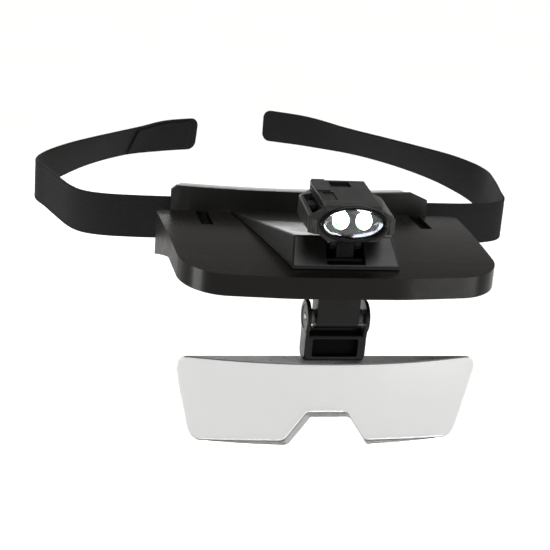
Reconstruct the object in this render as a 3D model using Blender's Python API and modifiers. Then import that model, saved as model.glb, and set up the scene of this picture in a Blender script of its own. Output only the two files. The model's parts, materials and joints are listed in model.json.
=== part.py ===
"""Head visor magnifier: a visor plate on a forehead band with two straps, a tilting lamp in a
wedge-shaped cradle on the plate, and a flip-up magnifying lens plate under the front edge.

Metres, +Z up, -Y is the way the wearer looks. The origin is the centre of the forehead pad's
rear face, at the height of the plate's top rear edge. "Depth" is the distance forward of that
edge, so y = PLATE_REAR_Y - depth.
"""

import math

import bmesh
import bpy
from mathutils import Matrix, Vector

mm = 0.001
GAP = 0.3 * mm                     # clearance between neighbouring pieces

# Visor plate
PLATE_REAR_Y = -10.6 * mm
PLATE_HALF_WIDTH_REAR = 74.5 * mm
PLATE_HALF_WIDTH_FRONT = 70.5 * mm
PLATE_DEPTH_SIDE = 83.0 * mm
PLATE_DEPTH = 87.0 * mm
PLATE_DROP = 5.5 * mm              # fall of the domed top from the rear edge to the front edge
WALL = 2.0 * mm
FRONT_CORNER_RADIUS = 22.0 * mm
REAR_CORNER_RADIUS = 4.0 * mm
RIM_HEIGHT = 9.5 * mm
SKIRT_TAB_HEIGHT = 22.8 * mm       # side skirt at its rear edge
SKIRT_STEP_DEPTH = 42.0 * mm       # the skirt reaches the rim's height here
SLOT_X = 52.6 * mm
SLOT_WIDTH = 5.7 * mm
SLOT_LENGTH = 23.3 * mm

# Forehead band, pad and straps
BAND_THICKNESS = 2.0 * mm
BAND_TOP = 10.0 * mm
BAND_BOTTOM = -19.0 * mm
BAND_LEFT = -66.0 * mm
BAND_RIGHT = 62.0 * mm
BAND_FRONT_Y = PLATE_REAR_Y + 0.4 * mm
BOW_HALF_SPAN = 62.0 * mm          # the band bows back by BOW over this half span
BOW = 7.5 * mm
PAD_TOP = 9.8 * mm
PAD_BOTTOM = -19.6 * mm
PAD_FRONT_Y = -5.6 * mm
STRAP_WIDTH = 21.0 * mm
STRAP_THICKNESS = 1.6 * mm
STRAP_MIDDLE_Z = -6.8 * mm
STRAP_Y_ON_BAND = -7.1 * mm        # middle of the strap where the band holds it, before the bow
RIVET_X = 58.0 * mm
RIVET_Z = -10.0 * mm
RIVET_RADIUS = 1.5 * mm
RIVET_HEAD_RADIUS = 3.6 * mm
RIVET_HEAD = 0.9 * mm
PATCH_LENGTH = 52.0 * mm
PATCH_THICKNESS = 1.0 * mm

# Strap routes: x, y in mm and the lean in degrees (positive puts the lower edge outward)
LEFT_ROUTE = (
    (-46, -2.8, 0), (-55, -1, 0), (-64, 1.2, 0), (-82, 2, 0), (-97, 4, 0), (-107, 9, 0),
    (-113, 19, 0), (-118, 36, 0), (-123, 55, 0), (-128, 74, 0), (-124, 95, 6), (-111, 123, 16),
    (-92, 153, 26), (-68, 182, 27), (-47, 201, 13), (-25, 212, 8),
)
RIGHT_ROUTE = (
    (46, -2.8, 0), (55, -1, 0), (64, 1.2, 0), (84, 2, 0), (100, 6, 0), (109, 15, 0),
    (113, 33, -4), (118, 58, -10), (122, 86, -14), (119, 113, 0), (110, 142, 18),
    (94, 175, 28), (74, 206, 28), (52, 233, 10), (26, 250, 0),
)

# Lamp cradle, the wedge on the plate
CRADLE_REAR_DEPTH = 2.5 * mm
CRADLE_REAR_HALF = 39.0 * mm
CRADLE_RIDGE_DEPTH = 68.0 * mm
CRADLE_RIDGE_HALF = 21.6 * mm
CRADLE_RIDGE_Z = 7.8 * mm
CRADLE_FRONT_DEPTH = 78.5 * mm
CRADLE_FRONT_HALF = 23.8 * mm
NOTCH_HALF = 8.6 * mm
NOTCH_FLOOR_Z = -2.4 * mm
NOTCH_DEPTH = 61.5 * mm

# Lens hinge under the plate
HINGE_DEPTH = 67.0 * mm
HINGE_Z = -29.5 * mm
BLOCK_HALF = 9.6 * mm
BLOCK_RADIUS = 5.2 * mm
FLANGE_HALF = 17.5 * mm
FLANGE_TOP_Z = -7.0 * mm
FLANGE_THICKNESS = 2.4 * mm
FLANGE_SCREW_X = 14.0 * mm
FLANGE_SCREW_DEPTH = 66.0 * mm
HEAD_RADIUS = 7.6 * mm
CHEEK_OUTER = 14.1 * mm
CHEEK_INNER = 12.3 * mm
PIN_RADIUS = 1.5 * mm
PIN_BORE = 1.8 * mm
HOLDER_TOP_Z = -37.0 * mm
HOLDER_BOTTOM_Z = -49.3 * mm
HOLDER_FRONT_DEPTH = 71.3 * mm
HOLDER_REAR_DEPTH = 61.0 * mm
HOLDER_HALF = 13.1 * mm

# Lens plate
LENS_TOP_Z = -49.6 * mm
LENS_BOTTOM_Z = -89.2 * mm
LENS_BACK_DEPTH = 62.6 * mm
LENS_THICKNESS = 11.4 * mm
LENS_HALF_TOP = 70.4 * mm
LENS_HALF_BOTTOM = 61.6 * mm
LENS_RADIUS = 215.0 * mm           # curvature of the convex front face
NOTCH_TOP_Z = -75.2 * mm
TONGUE_HALF = 9.0 * mm
TONGUE_TOP_Z = -39.0 * mm
TONGUE_NEAR_DEPTH = 64.5 * mm
TONGUE_FAR_DEPTH = 67.5 * mm

# Lamp
TILT_DEPTH = 70.0 * mm
TILT_Z = 5.8 * mm
KNUCKLE_RADIUS = 3.2 * mm
KNUCKLE_HALF = 3.9 * mm
LUG_OUTER = 6.8 * mm
TILT_PIN_RADIUS = 1.1 * mm
TILT_BORE = 1.4 * mm
LAMP_SCREW_HOLE = 1.4 * mm
LAMP_REAR_DEPTH = 49.0 * mm
LAMP_FRONT_DEPTH = 83.0 * mm
LAMP_TOP_HALF = 12.3 * mm
LAMP_TOP_REAR_Z = 28.0 * mm
LAMP_TOP_SLOPE = 0.12              # fall of the top face for each unit forward
LAMP_HALF = 19.3 * mm
LAMP_FLOOR_Z = 12.1 * mm
LAMP_BASE_Z = 10.0 * mm
LAMP_SCREW_X = 12.7 * mm
LAMP_SCREW_DEPTH = 61.5 * mm
COVER_THICKNESS = 2.0 * mm
COVER_FRONT_DEPTH = 74.4 * mm
OVAL_Z = 17.3 * mm                 # middle of the oval lamp front
OVAL_HALF_WIDTH = 13.6 * mm
OVAL_HALF_HEIGHT = 6.8 * mm
LED_X = 4.95 * mm
LED_Z = 18.4 * mm
LED_RADIUS = 2.5 * mm
CELL_RADIUS = 10.0 * mm
CELL_THICKNESS = 3.2 * mm
CELL_DEPTH = 63.2 * mm
CELL_LOWER_Z = 14.3 * mm


# ---- scene, materials and shape helpers ----------------------------------------------------------

def clear_scene():
    for obj in list(bpy.data.objects):
        bpy.data.objects.remove(obj, do_unlink=True)


def new_collection(name):
    collection = bpy.data.collections.new(name)
    bpy.context.scene.collection.children.link(collection)
    return collection


clear_scene()
PARTS = new_collection("head_visor_magnifier")
CUTTERS = new_collection("cutters")


def material(name, colour, roughness, metallic=0.0, transmission=0.0, emission=0.0):
    made = bpy.data.materials.new(name)
    made.use_nodes = True
    shader = made.node_tree.nodes["Principled BSDF"]
    shader.inputs["Base Color"].default_value = (*colour, 1.0)
    shader.inputs["Roughness"].default_value = roughness
    shader.inputs["Metallic"].default_value = metallic
    shader.inputs["Transmission Weight"].default_value = transmission
    if emission:
        shader.inputs["Emission Color"].default_value = (*colour, 1.0)
        shader.inputs["Emission Strength"].default_value = emission
    return made


def y_at(depth):
    return PLATE_REAR_Y - depth


def at(x, depth, z):
    return Vector((x, y_at(depth), z))


def bow_at(x):
    return BOW * (x / BOW_HALF_SPAN) ** 2


def plate_top(depth):
    return -PLATE_DROP * (max(depth, 0.0) / PLATE_DEPTH) ** 2


def add_object(name, bm, look=None):
    """Link a finished bmesh as a part, or as a cutter when it has no look."""
    bmesh.ops.recalc_face_normals(bm, faces=bm.faces)
    mesh = bpy.data.meshes.new(name)
    bm.to_mesh(mesh)
    bm.free()
    mesh.shade_smooth()
    mesh.set_sharp_from_angle(angle=math.radians(35))
    obj = bpy.data.objects.new(name, mesh)
    if look is None:
        CUTTERS.objects.link(obj)
        obj.hide_render = True
        obj.display_type = "WIRE"
    else:
        PARTS.objects.link(obj)
        mesh.materials.append(look)
    return obj


def filleted(corners, step=math.radians(15)):
    """Outline of a polygon whose corners (u, v, radius) are rounded with arcs."""
    outline = []
    for i, (u, v, radius) in enumerate(corners):
        here = Vector((u, v))
        before = (Vector(corners[i - 1][:2]) - here).normalized()
        after = (Vector(corners[(i + 1) % len(corners)][:2]) - here).normalized()
        if radius == 0:
            outline.append(here)
            continue
        half = before.angle(after) / 2
        centre = here + (before + after).normalized() * radius / math.sin(half)
        start = here + before * radius / math.tan(half) - centre
        end = here + after * radius / math.tan(half) - centre
        first = math.atan2(start.y, start.x)
        sweep = math.remainder(math.atan2(end.y, end.x) - first, math.tau)
        count = max(2, math.ceil(abs(sweep) / step))
        for k in range(count + 1):
            angle = first + sweep * k / count
            outline.append(centre + radius * Vector((math.cos(angle), math.sin(angle))))
    return outline


def oval(half_u, half_v, centre_u=0.0, centre_v=0.0, count=40):
    turns = [math.tau * k / count for k in range(count)]
    return [Vector((centre_u + half_u * math.cos(t), centre_v + half_v * math.sin(t))) for t in turns]


def prism(name, outline, axis, low, high, look=None):
    """Extrude an outline along X, Y or Z; its (u, v) are the two other axes in order."""
    place = {
        "X": lambda u, v: (low, u, v),
        "Y": lambda u, v: (u, low, v),
        "Z": lambda u, v: (u, v, low),
    }[axis]
    way = {"X": Vector((1, 0, 0)), "Y": Vector((0, 1, 0)), "Z": Vector((0, 0, 1))}[axis]
    bm = bmesh.new()
    face = bm.faces.new([bm.verts.new(place(u, v)) for u, v in outline])
    swept = bmesh.ops.extrude_face_region(bm, geom=[face])
    verts = [item for item in swept["geom"] if isinstance(item, bmesh.types.BMVert)]
    bmesh.ops.translate(bm, verts=verts, vec=way * (high - low))
    return add_object(name, bm, look)


def box(name, low, high, look=None):
    low, high = Vector(low), Vector(high)
    bm = bmesh.new()
    bmesh.ops.create_cube(bm, size=1.0)
    size = Matrix.Diagonal((*(high - low), 1.0))
    bmesh.ops.transform(bm, matrix=Matrix.Translation((low + high) / 2) @ size, verts=bm.verts)
    return add_object(name, bm, look)


def rod(name, start, end, radius, look=None, segments=32, end_radius=None):
    """A cylinder or cone between two points."""
    start, end = Vector(start), Vector(end)
    way = end - start
    bm = bmesh.new()
    bmesh.ops.create_cone(
        bm, cap_ends=True, segments=segments, depth=way.length,
        radius1=radius, radius2=radius if end_radius is None else end_radius,
    )
    turn = way.to_track_quat("Z", "Y").to_matrix().to_4x4()
    bmesh.ops.transform(bm, matrix=Matrix.Translation((start + end) / 2) @ turn, verts=bm.verts)
    return add_object(name, bm, look)


def hull(name, points, look=None):
    """The convex body around named corner points."""
    bm = bmesh.new()
    for point in points:
        bm.verts.new(point)
    made = bmesh.ops.convex_hull(bm, input=bm.verts)
    bmesh.ops.delete(bm, geom=made["geom_interior"], context="VERTS")
    bmesh.ops.dissolve_limit(bm, angle_limit=math.radians(0.5), verts=bm.verts, edges=bm.edges)
    return add_object(name, bm, look)


def both_sides(points):
    return [Vector((side * x, y, z)) for x, y, z in points for side in (-1, 1)]


def combine(obj, others, operation):
    for other in others:
        modifier = obj.modifiers.new(operation.lower(), "BOOLEAN")
        modifier.operation = operation
        modifier.solver = "EXACT"
        modifier.object = other


def cut(obj, *cutters):
    combine(obj, cutters, "DIFFERENCE")


def join(obj, *pieces):
    combine(obj, pieces, "UNION")


def bevel(obj, width, segments=2, angle=40):
    modifier = obj.modifiers.new("bevel", "BEVEL")
    modifier.width = width
    modifier.segments = segments
    modifier.limit_method = "ANGLE"
    modifier.angle_limit = math.radians(angle)
    return obj


def hang_on(name, place, pieces):
    """Parent pieces, already modelled in place, to an empty on their joint's axis."""
    empty = bpy.data.objects.new(name, None)
    empty.location = place
    empty.empty_display_size = 5 * mm
    PARTS.objects.link(empty)
    for piece in pieces:
        piece.parent = empty
        piece.matrix_parent_inverse = Matrix.Translation(-Vector(place))
    return empty


# ---- visor ---------------------------------------------------------------------------------------

def plan_outline(inset, rear_depth):
    """Plan of the visor, inset from its outer faces, with a slightly convex front edge."""
    rear = PLATE_HALF_WIDTH_REAR - inset
    front = PLATE_HALF_WIDTH_FRONT - inset
    crown = 24 * mm
    rear_radius = 0 if inset else REAR_CORNER_RADIUS
    corner_radius = FRONT_CORNER_RADIUS - inset
    right = [
        (rear, y_at(rear_depth), rear_radius),
        (front, y_at(PLATE_DEPTH_SIDE - inset), corner_radius),
        (crown, y_at(PLATE_DEPTH - inset), 120 * mm),
    ]
    left = [(-x, y, radius) for x, y, radius in reversed(right)]
    return filleted(right + left)


def under_top(name, drop, floor):
    """A wide slab whose top follows the plate's domed top, shifted down by drop."""
    count = 14
    depths = [-6 * mm + (PLATE_DEPTH + 12 * mm) * k / count for k in range(count + 1)]
    top = [(y_at(depth), plate_top(depth) - drop) for depth in depths]
    outline = top + [(top[-1][0], floor), (top[0][0], floor)]
    return prism(name, outline, "X", -90 * mm, 90 * mm)


def side_profile():
    """Side view of the visor: domed top, tall rear tab and a rim of even height forward."""
    count = 10
    far = PLATE_DEPTH + 4 * mm
    top_depths = [far * k / count for k in range(count + 1)]
    rim_depths = [far + (SKIRT_STEP_DEPTH - far) * k / count for k in range(count + 1)]
    top = [(y_at(depth), plate_top(depth), 0) for depth in top_depths]
    rim = [(y_at(depth), plate_top(depth) - RIM_HEIGHT, 0) for depth in rim_depths]
    tab = [(y_at(0.0), -SKIRT_TAB_HEIGHT, 3.0 * mm)]
    return filleted(top + rim + tab)


def make_visor():
    black = material("visor_black", (0.012, 0.011, 0.010), 0.22)
    shell = prism("visor_shell", plan_outline(0.0, 0.0), "Z", -30 * mm, 4 * mm, black)
    profile = prism("visor_side_profile", side_profile(), "X", -90 * mm, 90 * mm)
    combine(shell, [profile], "INTERSECT")
    hollow = prism("visor_hollow", plan_outline(WALL, -8 * mm), "Z", -40 * mm, 8 * mm)
    combine(hollow, [under_top("visor_hollow_top", WALL, -50 * mm)], "INTERSECT")
    cut(shell, hollow)
    for side, x in (("left", -SLOT_X), ("right", SLOT_X)):
        low = (x - SLOT_WIDTH / 2, y_at(SLOT_LENGTH), -6 * mm)
        high = (x + SLOT_WIDTH / 2, y_at(-4 * mm), 4 * mm)
        cut(shell, box("slot_" + side, low, high))
    for side, x in (("left", -FLANGE_SCREW_X), ("right", FLANGE_SCREW_X)):
        start = at(x, FLANGE_SCREW_DEPTH, -12 * mm)
        end = at(x, FLANGE_SCREW_DEPTH, 2 * mm)
        cut(shell, rod("visor_screw_hole_" + side, start, end, 1.6 * mm, segments=20))
    return shell


# ---- forehead band, pad and straps ---------------------------------------------------------------

def bowed_outline(left, right, front_y, rear_y, count=16):
    """Plan of a strip that bows back at its ends, between two heights of y at its middle."""
    xs = [left + (right - left) * k / count for k in range(count + 1)]
    front = [(x, front_y + bow_at(x)) for x in xs]
    rear = [(x, rear_y + bow_at(x)) for x in reversed(xs)]
    return front + rear


def band_end_cut(name, tip_x, inner_x, drop):
    """Cutter for a sloping upper corner of the band."""
    outline = [(inner_x, BAND_TOP), (tip_x, BAND_TOP - drop), (tip_x, BAND_TOP + 9 * mm),
               (inner_x, BAND_TOP + 9 * mm)]
    return prism(name, outline, "Y", -30 * mm, 20 * mm)


def rivet_place(x):
    return Vector((x, BAND_FRONT_Y + bow_at(x), RIVET_Z))


def rivet_axis(x):
    """Unit vector square to the band at x, pointing to the wearer."""
    slope = 2 * BOW * x / BOW_HALF_SPAN ** 2
    return Vector((-slope, 1, 0)).normalized()


def rivet_hole(name, x):
    place, axis = rivet_place(x), rivet_axis(x)
    return rod(name, place - axis * 5 * mm, place + axis * 12 * mm, RIVET_RADIUS + GAP, segments=20)


def make_band():
    black = material("band_black", (0.010, 0.010, 0.009), 0.42)
    outline = bowed_outline(BAND_LEFT, BAND_RIGHT, BAND_FRONT_Y, BAND_FRONT_Y + BAND_THICKNESS)
    band = prism("forehead_band", outline, "Z", BAND_BOTTOM, BAND_TOP, black)
    cut(band, band_end_cut("band_corner_left", BAND_LEFT - mm, BAND_LEFT + 2.4 * mm, 3 * mm))
    cut(band, band_end_cut("band_corner_right", BAND_RIGHT + mm, BAND_RIGHT - 9.5 * mm, 4.6 * mm))
    for side, x in (("left", -SLOT_X), ("right", SLOT_X)):
        half = SLOT_WIDTH / 2 - GAP
        back_y = BAND_FRONT_Y + bow_at(x) + mm
        web = box("rail_web_" + side, (x - half, y_at(SLOT_LENGTH - GAP - 0.4 * mm), -4.5 * mm),
                  (x + half, back_y, -1.1 * mm))
        foot_low = (x - 5.5 * mm, y_at(SLOT_LENGTH + 2 * mm), -5.4 * mm)
        foot = box("rail_foot_" + side, foot_low, (x + 5.5 * mm, back_y, -2.95 * mm))
        join(band, web, foot)
        cut(band, rivet_hole("band_rivet_hole_" + side, math.copysign(RIVET_X, x)))
    return band


def make_pad():
    foam = material("pad_foam", (0.45, 0.45, 0.44), 0.9)
    count = 16
    left, right = BAND_LEFT + mm, BAND_RIGHT - mm
    flat_half = 15 * mm
    xs = [left + (right - left) * k / count for k in range(count + 1)]
    front = [(x, PAD_FRONT_Y + bow_at(x)) for x in xs]
    rear_right = [(x, bow_at(x) - bow_at(flat_half)) for x in reversed(xs) if x > flat_half]
    rear_left = [(x, bow_at(x) - bow_at(flat_half)) for x in reversed(xs) if x < -flat_half]
    rear = rear_right + [(flat_half, 0.0), (-flat_half, 0.0)] + rear_left
    pad = prism("forehead_pad", front + rear, "Z", PAD_BOTTOM, PAD_TOP, foam)
    for side, x in (("left", -RIVET_X), ("right", RIVET_X)):
        place, axis = rivet_place(x), rivet_axis(x)
        deep_end = place + axis * 7 * mm
        pocket = rod("pad_pocket_" + side, place, deep_end, RIVET_HEAD_RADIUS + mm, segments=20)
        cut(pad, pocket)
    return pad


def smooth_route(points, spacing=4 * mm):
    """Catmull-Rom curve through (x, y, lean) points, with a sample about every spacing."""
    nodes = [Vector((x * mm, y * mm, math.radians(lean))) for x, y, lean in points]
    nodes = [2 * nodes[0] - nodes[1]] + nodes + [2 * nodes[-1] - nodes[-2]]
    samples = []
    for a, b, c, d in zip(nodes, nodes[1:], nodes[2:], nodes[3:]):
        count = max(2, round((c.xy - b.xy).length / spacing))
        for k in range(count):
            t = k / count
            samples.append(0.5 * ((2 * b) + (c - a) * t + (2 * a - 5 * b + 4 * c - d) * t * t
                                  + (3 * b - a - 3 * c + d) * t * t * t))
    samples.append(nodes[-2])
    return samples


def outward_at(samples, i):
    """Horizontal unit vector out of the strap's loop at sample i."""
    along = (samples[min(i + 1, len(samples) - 1)].xy - samples[max(i - 1, 0)].xy).normalized()
    side = Vector((along.y, -along.x, 0.0))
    return side if samples[0].x > 0 else -side


def ribbon(name, samples, width, thickness, outward, look, round_end=5 * mm):
    """A flat band on edge along samples, with rounded corners at its free end."""
    bm = bmesh.new()
    left_to_go = [0.0]
    for a, b in zip(reversed(samples[1:]), reversed(samples[:-1])):
        left_to_go.append(left_to_go[-1] + (a.xy - b.xy).length)
    left_to_go.reverse()
    rows = []
    for i, sample in enumerate(samples):
        out = outward_at(samples, i)
        lean = sample.z
        across = Vector((0, 0, math.cos(lean))) - out * math.sin(lean)
        normal = out * math.cos(lean) + Vector((0, 0, math.sin(lean)))
        inset = max(0.0, round_end - left_to_go[i])
        half = width / 2 - round_end + math.sqrt(round_end ** 2 - inset ** 2)
        middle = Vector((sample.x, sample.y, STRAP_MIDDLE_Z)) + normal * outward
        rows.append([bm.verts.new(middle + across * half), bm.verts.new(middle - across * half)])
    for (a, b), (c, d) in zip(rows, rows[1:]):
        bm.faces.new((a, b, d, c))
    obj = add_object(name, bm, look)
    solid = obj.modifiers.new("thickness", "SOLIDIFY")
    solid.thickness = thickness
    solid.offset = 0.0
    solid.use_even_offset = False
    return obj


def make_strap(side, route):
    webbing = material("webbing_" + side, (0.012, 0.012, 0.012), 0.8)
    samples = smooth_route(route)
    end = samples[-1]
    before = samples[-2]
    step = (end - before) * (1.0 / max((end.xy - before.xy).length, 1e-6))
    tail = [end - step * back * mm for back in (3.4, 1.8, 0.7, 0.15)]
    samples = [s for s in samples if (s.xy - end.xy).length > 4.2 * mm] + tail + [end]
    strap = ribbon("strap_" + side, samples, STRAP_WIDTH, STRAP_THICKNESS, 0.0, webbing)
    cut(strap, rivet_hole("strap_rivet_hole_" + side, math.copysign(RIVET_X, samples[0].x)))
    return strap


def make_patch(name, route, outward, look):
    """Hook or loop strip sewn on a strap, a little short of the strap's free end."""
    samples = smooth_route(route)
    end = samples[-1]
    near = [s for s in samples if 4 * mm < (s.xy - end.xy).length < PATCH_LENGTH + 4 * mm]
    return ribbon(name, near, STRAP_WIDTH - 3 * mm, PATCH_THICKNESS, outward, look, round_end=mm)


def make_rivet(side, x):
    """Rivet through the band and the strap, with a flat head on each side."""
    steel = material("rivet_" + side, (0.30, 0.30, 0.31), 0.35, metallic=1.0)
    place, axis = rivet_place(x), rivet_axis(x)
    front = place - axis * GAP
    rear = place + axis * (BAND_THICKNESS + STRAP_THICKNESS + 3 * GAP)
    rivet = rod("strap_rivet_" + side, front - axis * RIVET_HEAD / 2, rear + axis * RIVET_HEAD / 2,
                RIVET_RADIUS, steel, segments=20)
    join(rivet, rod("rivet_front_head_" + side, front - axis * RIVET_HEAD, front, RIVET_HEAD_RADIUS))
    join(rivet, rod("rivet_rear_head_" + side, rear, rear + axis * RIVET_HEAD, RIVET_HEAD_RADIUS))
    return rivet


# ---- lamp cradle and lens hinge ------------------------------------------------------------------

def make_cradle():
    black = material("cradle_black", (0.014, 0.013, 0.012), 0.3)
    corners = [
        at(CRADLE_REAR_HALF, CRADLE_REAR_DEPTH, 1.0 * mm),
        at(CRADLE_REAR_HALF, CRADLE_REAR_DEPTH, -3.0 * mm),
        at(CRADLE_RIDGE_HALF, CRADLE_RIDGE_DEPTH, CRADLE_RIDGE_Z),
        at(CRADLE_FRONT_HALF, CRADLE_FRONT_DEPTH, -3.0 * mm),
        at(CRADLE_FRONT_HALF, CRADLE_FRONT_DEPTH, -8.0 * mm),
    ]
    cradle = hull("lamp_cradle", both_sides(corners), black)
    inner = [
        at(31 * mm, 12 * mm, 0.0),
        at(31 * mm, 12 * mm, -10 * mm),
        at(21.5 * mm, 52 * mm, 4.0 * mm),
        at(21.5 * mm, 52 * mm, -10 * mm),
    ]
    cut(cradle, hull("cradle_hollow", both_sides(inner)))
    notch_low = (-NOTCH_HALF, y_at(95 * mm), NOTCH_FLOOR_Z)
    cut(cradle, box("cradle_notch", notch_low, (NOTCH_HALF, y_at(NOTCH_DEPTH), 20 * mm)))
    cut(cradle, under_top("cradle_seat", -GAP, -50 * mm))
    for side, x in (("left", -FLANGE_SCREW_X), ("right", FLANGE_SCREW_X)):
        start = at(x, FLANGE_SCREW_DEPTH, -8 * mm)
        end = at(x, FLANGE_SCREW_DEPTH, 4 * mm)
        cut(cradle, rod("cradle_bore_" + side, start, end, 1.6 * mm, segments=20))
    return cradle


def make_hinge_block():
    black = material("block_black", (0.010, 0.010, 0.010), 0.4)
    axis_y = y_at(HINGE_DEPTH)
    count = 12
    turns = [math.pi + math.pi * k / count for k in range(count + 1)]
    bottom = [(axis_y + BLOCK_RADIUS * math.cos(t), HINGE_Z + BLOCK_RADIUS * math.sin(t)) for t in turns]
    top_z = FLANGE_TOP_Z - FLANGE_THICKNESS / 2
    outline = bottom + [(axis_y + BLOCK_RADIUS, top_z), (axis_y - BLOCK_RADIUS, top_z)]
    block = prism("hinge_block", outline, "X", -BLOCK_HALF, BLOCK_HALF, black)
    flange_low = at(-FLANGE_HALF, 75 * mm, FLANGE_TOP_Z - FLANGE_THICKNESS)
    join(block, box("block_flange", flange_low, at(FLANGE_HALF, 59 * mm, FLANGE_TOP_Z)))
    cut(block, hinge_bore("block_bore"))
    for side, x in (("left", -FLANGE_SCREW_X), ("right", FLANGE_SCREW_X)):
        start = at(x, FLANGE_SCREW_DEPTH, -14 * mm)
        end = at(x, FLANGE_SCREW_DEPTH, 0.0)
        cut(block, rod("flange_hole_" + side, start, end, 1.6 * mm, segments=20))
    return block


def hinge_bore(name, radius=PIN_BORE):
    start = at(-20 * mm, HINGE_DEPTH, HINGE_Z)
    end = at(20 * mm, HINGE_DEPTH, HINGE_Z)
    return rod(name, start, end, radius, segments=24)


def make_screw(name, look, head_bottom, shank_top, shank_radius, head_radius, head_height):
    """Upright screw with its head below and a cross recess in the head."""
    up = Vector((0, 0, 1))
    screw = rod(name, head_bottom, head_bottom + up * head_height, head_radius, look, segments=24)
    join(screw, rod(name + "_shank", head_bottom + up * 0.3 * mm, shank_top, shank_radius, segments=20))
    reach = head_radius * 0.55
    for k, (a, b) in enumerate(((reach, 0.35 * mm), (0.35 * mm, reach))):
        size = Vector((a, b, 0.45 * mm))
        cut(screw, box("%s_recess_%d" % (name, k), head_bottom - size, head_bottom + size))
    return screw


def make_lens_holder():
    black = material("holder_black", (0.011, 0.011, 0.011), 0.35)
    lower = filleted([
        (y_at(HOLDER_FRONT_DEPTH), HOLDER_TOP_Z, 1.0 * mm),
        (y_at(HOLDER_REAR_DEPTH), HOLDER_TOP_Z, 1.0 * mm),
        (y_at(HOLDER_REAR_DEPTH - 1.2 * mm), HOLDER_BOTTOM_Z, 3.0 * mm),
        (y_at(HOLDER_FRONT_DEPTH), HOLDER_BOTTOM_Z, 1.5 * mm),
    ])
    holder = prism("lens_holder", lower, "X", -HOLDER_HALF, HOLDER_HALF, black)
    neck = [
        (y_at(HOLDER_FRONT_DEPTH + 0.4 * mm), HINGE_Z - 3 * mm),
        (y_at(HOLDER_REAR_DEPTH + 0.2 * mm), HINGE_Z - 3 * mm),
        (y_at(HOLDER_REAR_DEPTH + 0.6 * mm), HOLDER_TOP_Z - 3 * mm),
        (y_at(HOLDER_FRONT_DEPTH - 0.6 * mm), HOLDER_TOP_Z - 3 * mm),
    ]
    for side, sign in (("left", -1), ("right", 1)):
        inner, outer = sorted((sign * CHEEK_INNER, sign * CHEEK_OUTER))
        disc = rod("cheek_head_" + side, at(inner, HINGE_DEPTH, HINGE_Z), at(outer, HINGE_DEPTH, HINGE_Z),
                   HEAD_RADIUS, segments=40)
        join(holder, disc, prism("cheek_neck_" + side, neck, "X", inner, outer))
    clear = GAP
    socket_low = at(-TONGUE_HALF - clear, TONGUE_FAR_DEPTH + clear, HOLDER_BOTTOM_Z - 2 * mm)
    socket_high = at(TONGUE_HALF + clear, TONGUE_NEAR_DEPTH - clear, TONGUE_TOP_Z + clear)
    cut(holder, box("lens_socket", socket_low, socket_high))
    window_low = at(-10.4 * mm, HOLDER_FRONT_DEPTH + 3 * mm, HOLDER_BOTTOM_Z + 2.4 * mm)
    window_high = at(10.4 * mm, TONGUE_FAR_DEPTH + 0.1 * mm, HOLDER_TOP_Z - 1.6 * mm)
    cut(holder, box("holder_window", window_low, window_high))
    cut(holder, hinge_bore("holder_bore"))
    return holder


def make_hinge_pin():
    steel = material("pin_steel", (0.35, 0.35, 0.36), 0.3, metallic=1.0)
    reach = CHEEK_OUTER - 0.2 * mm
    return rod("hinge_pin", at(-reach, HINGE_DEPTH, HINGE_Z), at(reach, HINGE_DEPTH, HINGE_Z),
               PIN_RADIUS, steel, segments=24)


def make_hinge_washer(side, sign):
    nylon = material("washer_" + side, (0.09, 0.09, 0.09), 0.5)
    near, far = BLOCK_HALF + GAP, CHEEK_INNER - GAP
    washer = rod("hinge_washer_" + side, at(sign * near, HINGE_DEPTH, HINGE_Z),
                 at(sign * far, HINGE_DEPTH, HINGE_Z), 3.4 * mm, nylon, segments=28)
    cut(washer, hinge_bore("washer_bore_" + side))
    return washer


def make_lens():
    acrylic = material("lens_acrylic", (0.95, 0.97, 0.98), 0.03, transmission=1.0)
    right = [
        (LENS_HALF_TOP, LENS_TOP_Z, 5 * mm),
        (LENS_HALF_BOTTOM, LENS_BOTTOM_Z, 7 * mm),
        (18.4 * mm, LENS_BOTTOM_Z, 4 * mm),
        (8.9 * mm, NOTCH_TOP_Z, 2.5 * mm),
    ]
    left = [(-x, z, radius) for x, z, radius in reversed(right)]
    front_y = y_at(LENS_BACK_DEPTH + LENS_THICKNESS)
    lens = prism("lens_plate", filleted(right + left), "Y", y_at(LENS_BACK_DEPTH + 20 * mm),
                 y_at(LENS_BACK_DEPTH), acrylic)
    centre = Vector((0, front_y + LENS_RADIUS, 0))
    curve = rod("lens_curve", centre + Vector((0, 0, -110 * mm)), centre + Vector((0, 0, -20 * mm)),
                LENS_RADIUS, segments=192)
    combine(lens, [curve], "INTERSECT")
    tongue_low = at(-TONGUE_HALF, TONGUE_FAR_DEPTH, LENS_TOP_Z - 2 * mm)
    join(lens, box("lens_tongue", tongue_low, at(TONGUE_HALF, TONGUE_NEAR_DEPTH, TONGUE_TOP_Z)))
    return lens


# ---- lamp ----------------------------------------------------------------------------------------

def lamp_top(depth):
    return LAMP_TOP_REAR_Z - LAMP_TOP_SLOPE * (depth - LAMP_REAR_DEPTH)


def make_lamp_foot():
    black = material("foot_black", (0.008, 0.008, 0.008), 0.4)
    base_low = at(-NOTCH_HALF + GAP, 76 * mm, NOTCH_FLOOR_Z + GAP)
    foot = box("lamp_foot", base_low, at(NOTCH_HALF - GAP, NOTCH_DEPTH + GAP, 1.2 * mm), black)
    join(foot, knuckle("foot_knuckle", -KNUCKLE_HALF, KNUCKLE_HALF, 0.5 * mm))
    cut(foot, tilt_bore("foot_bore"))
    return foot


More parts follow.
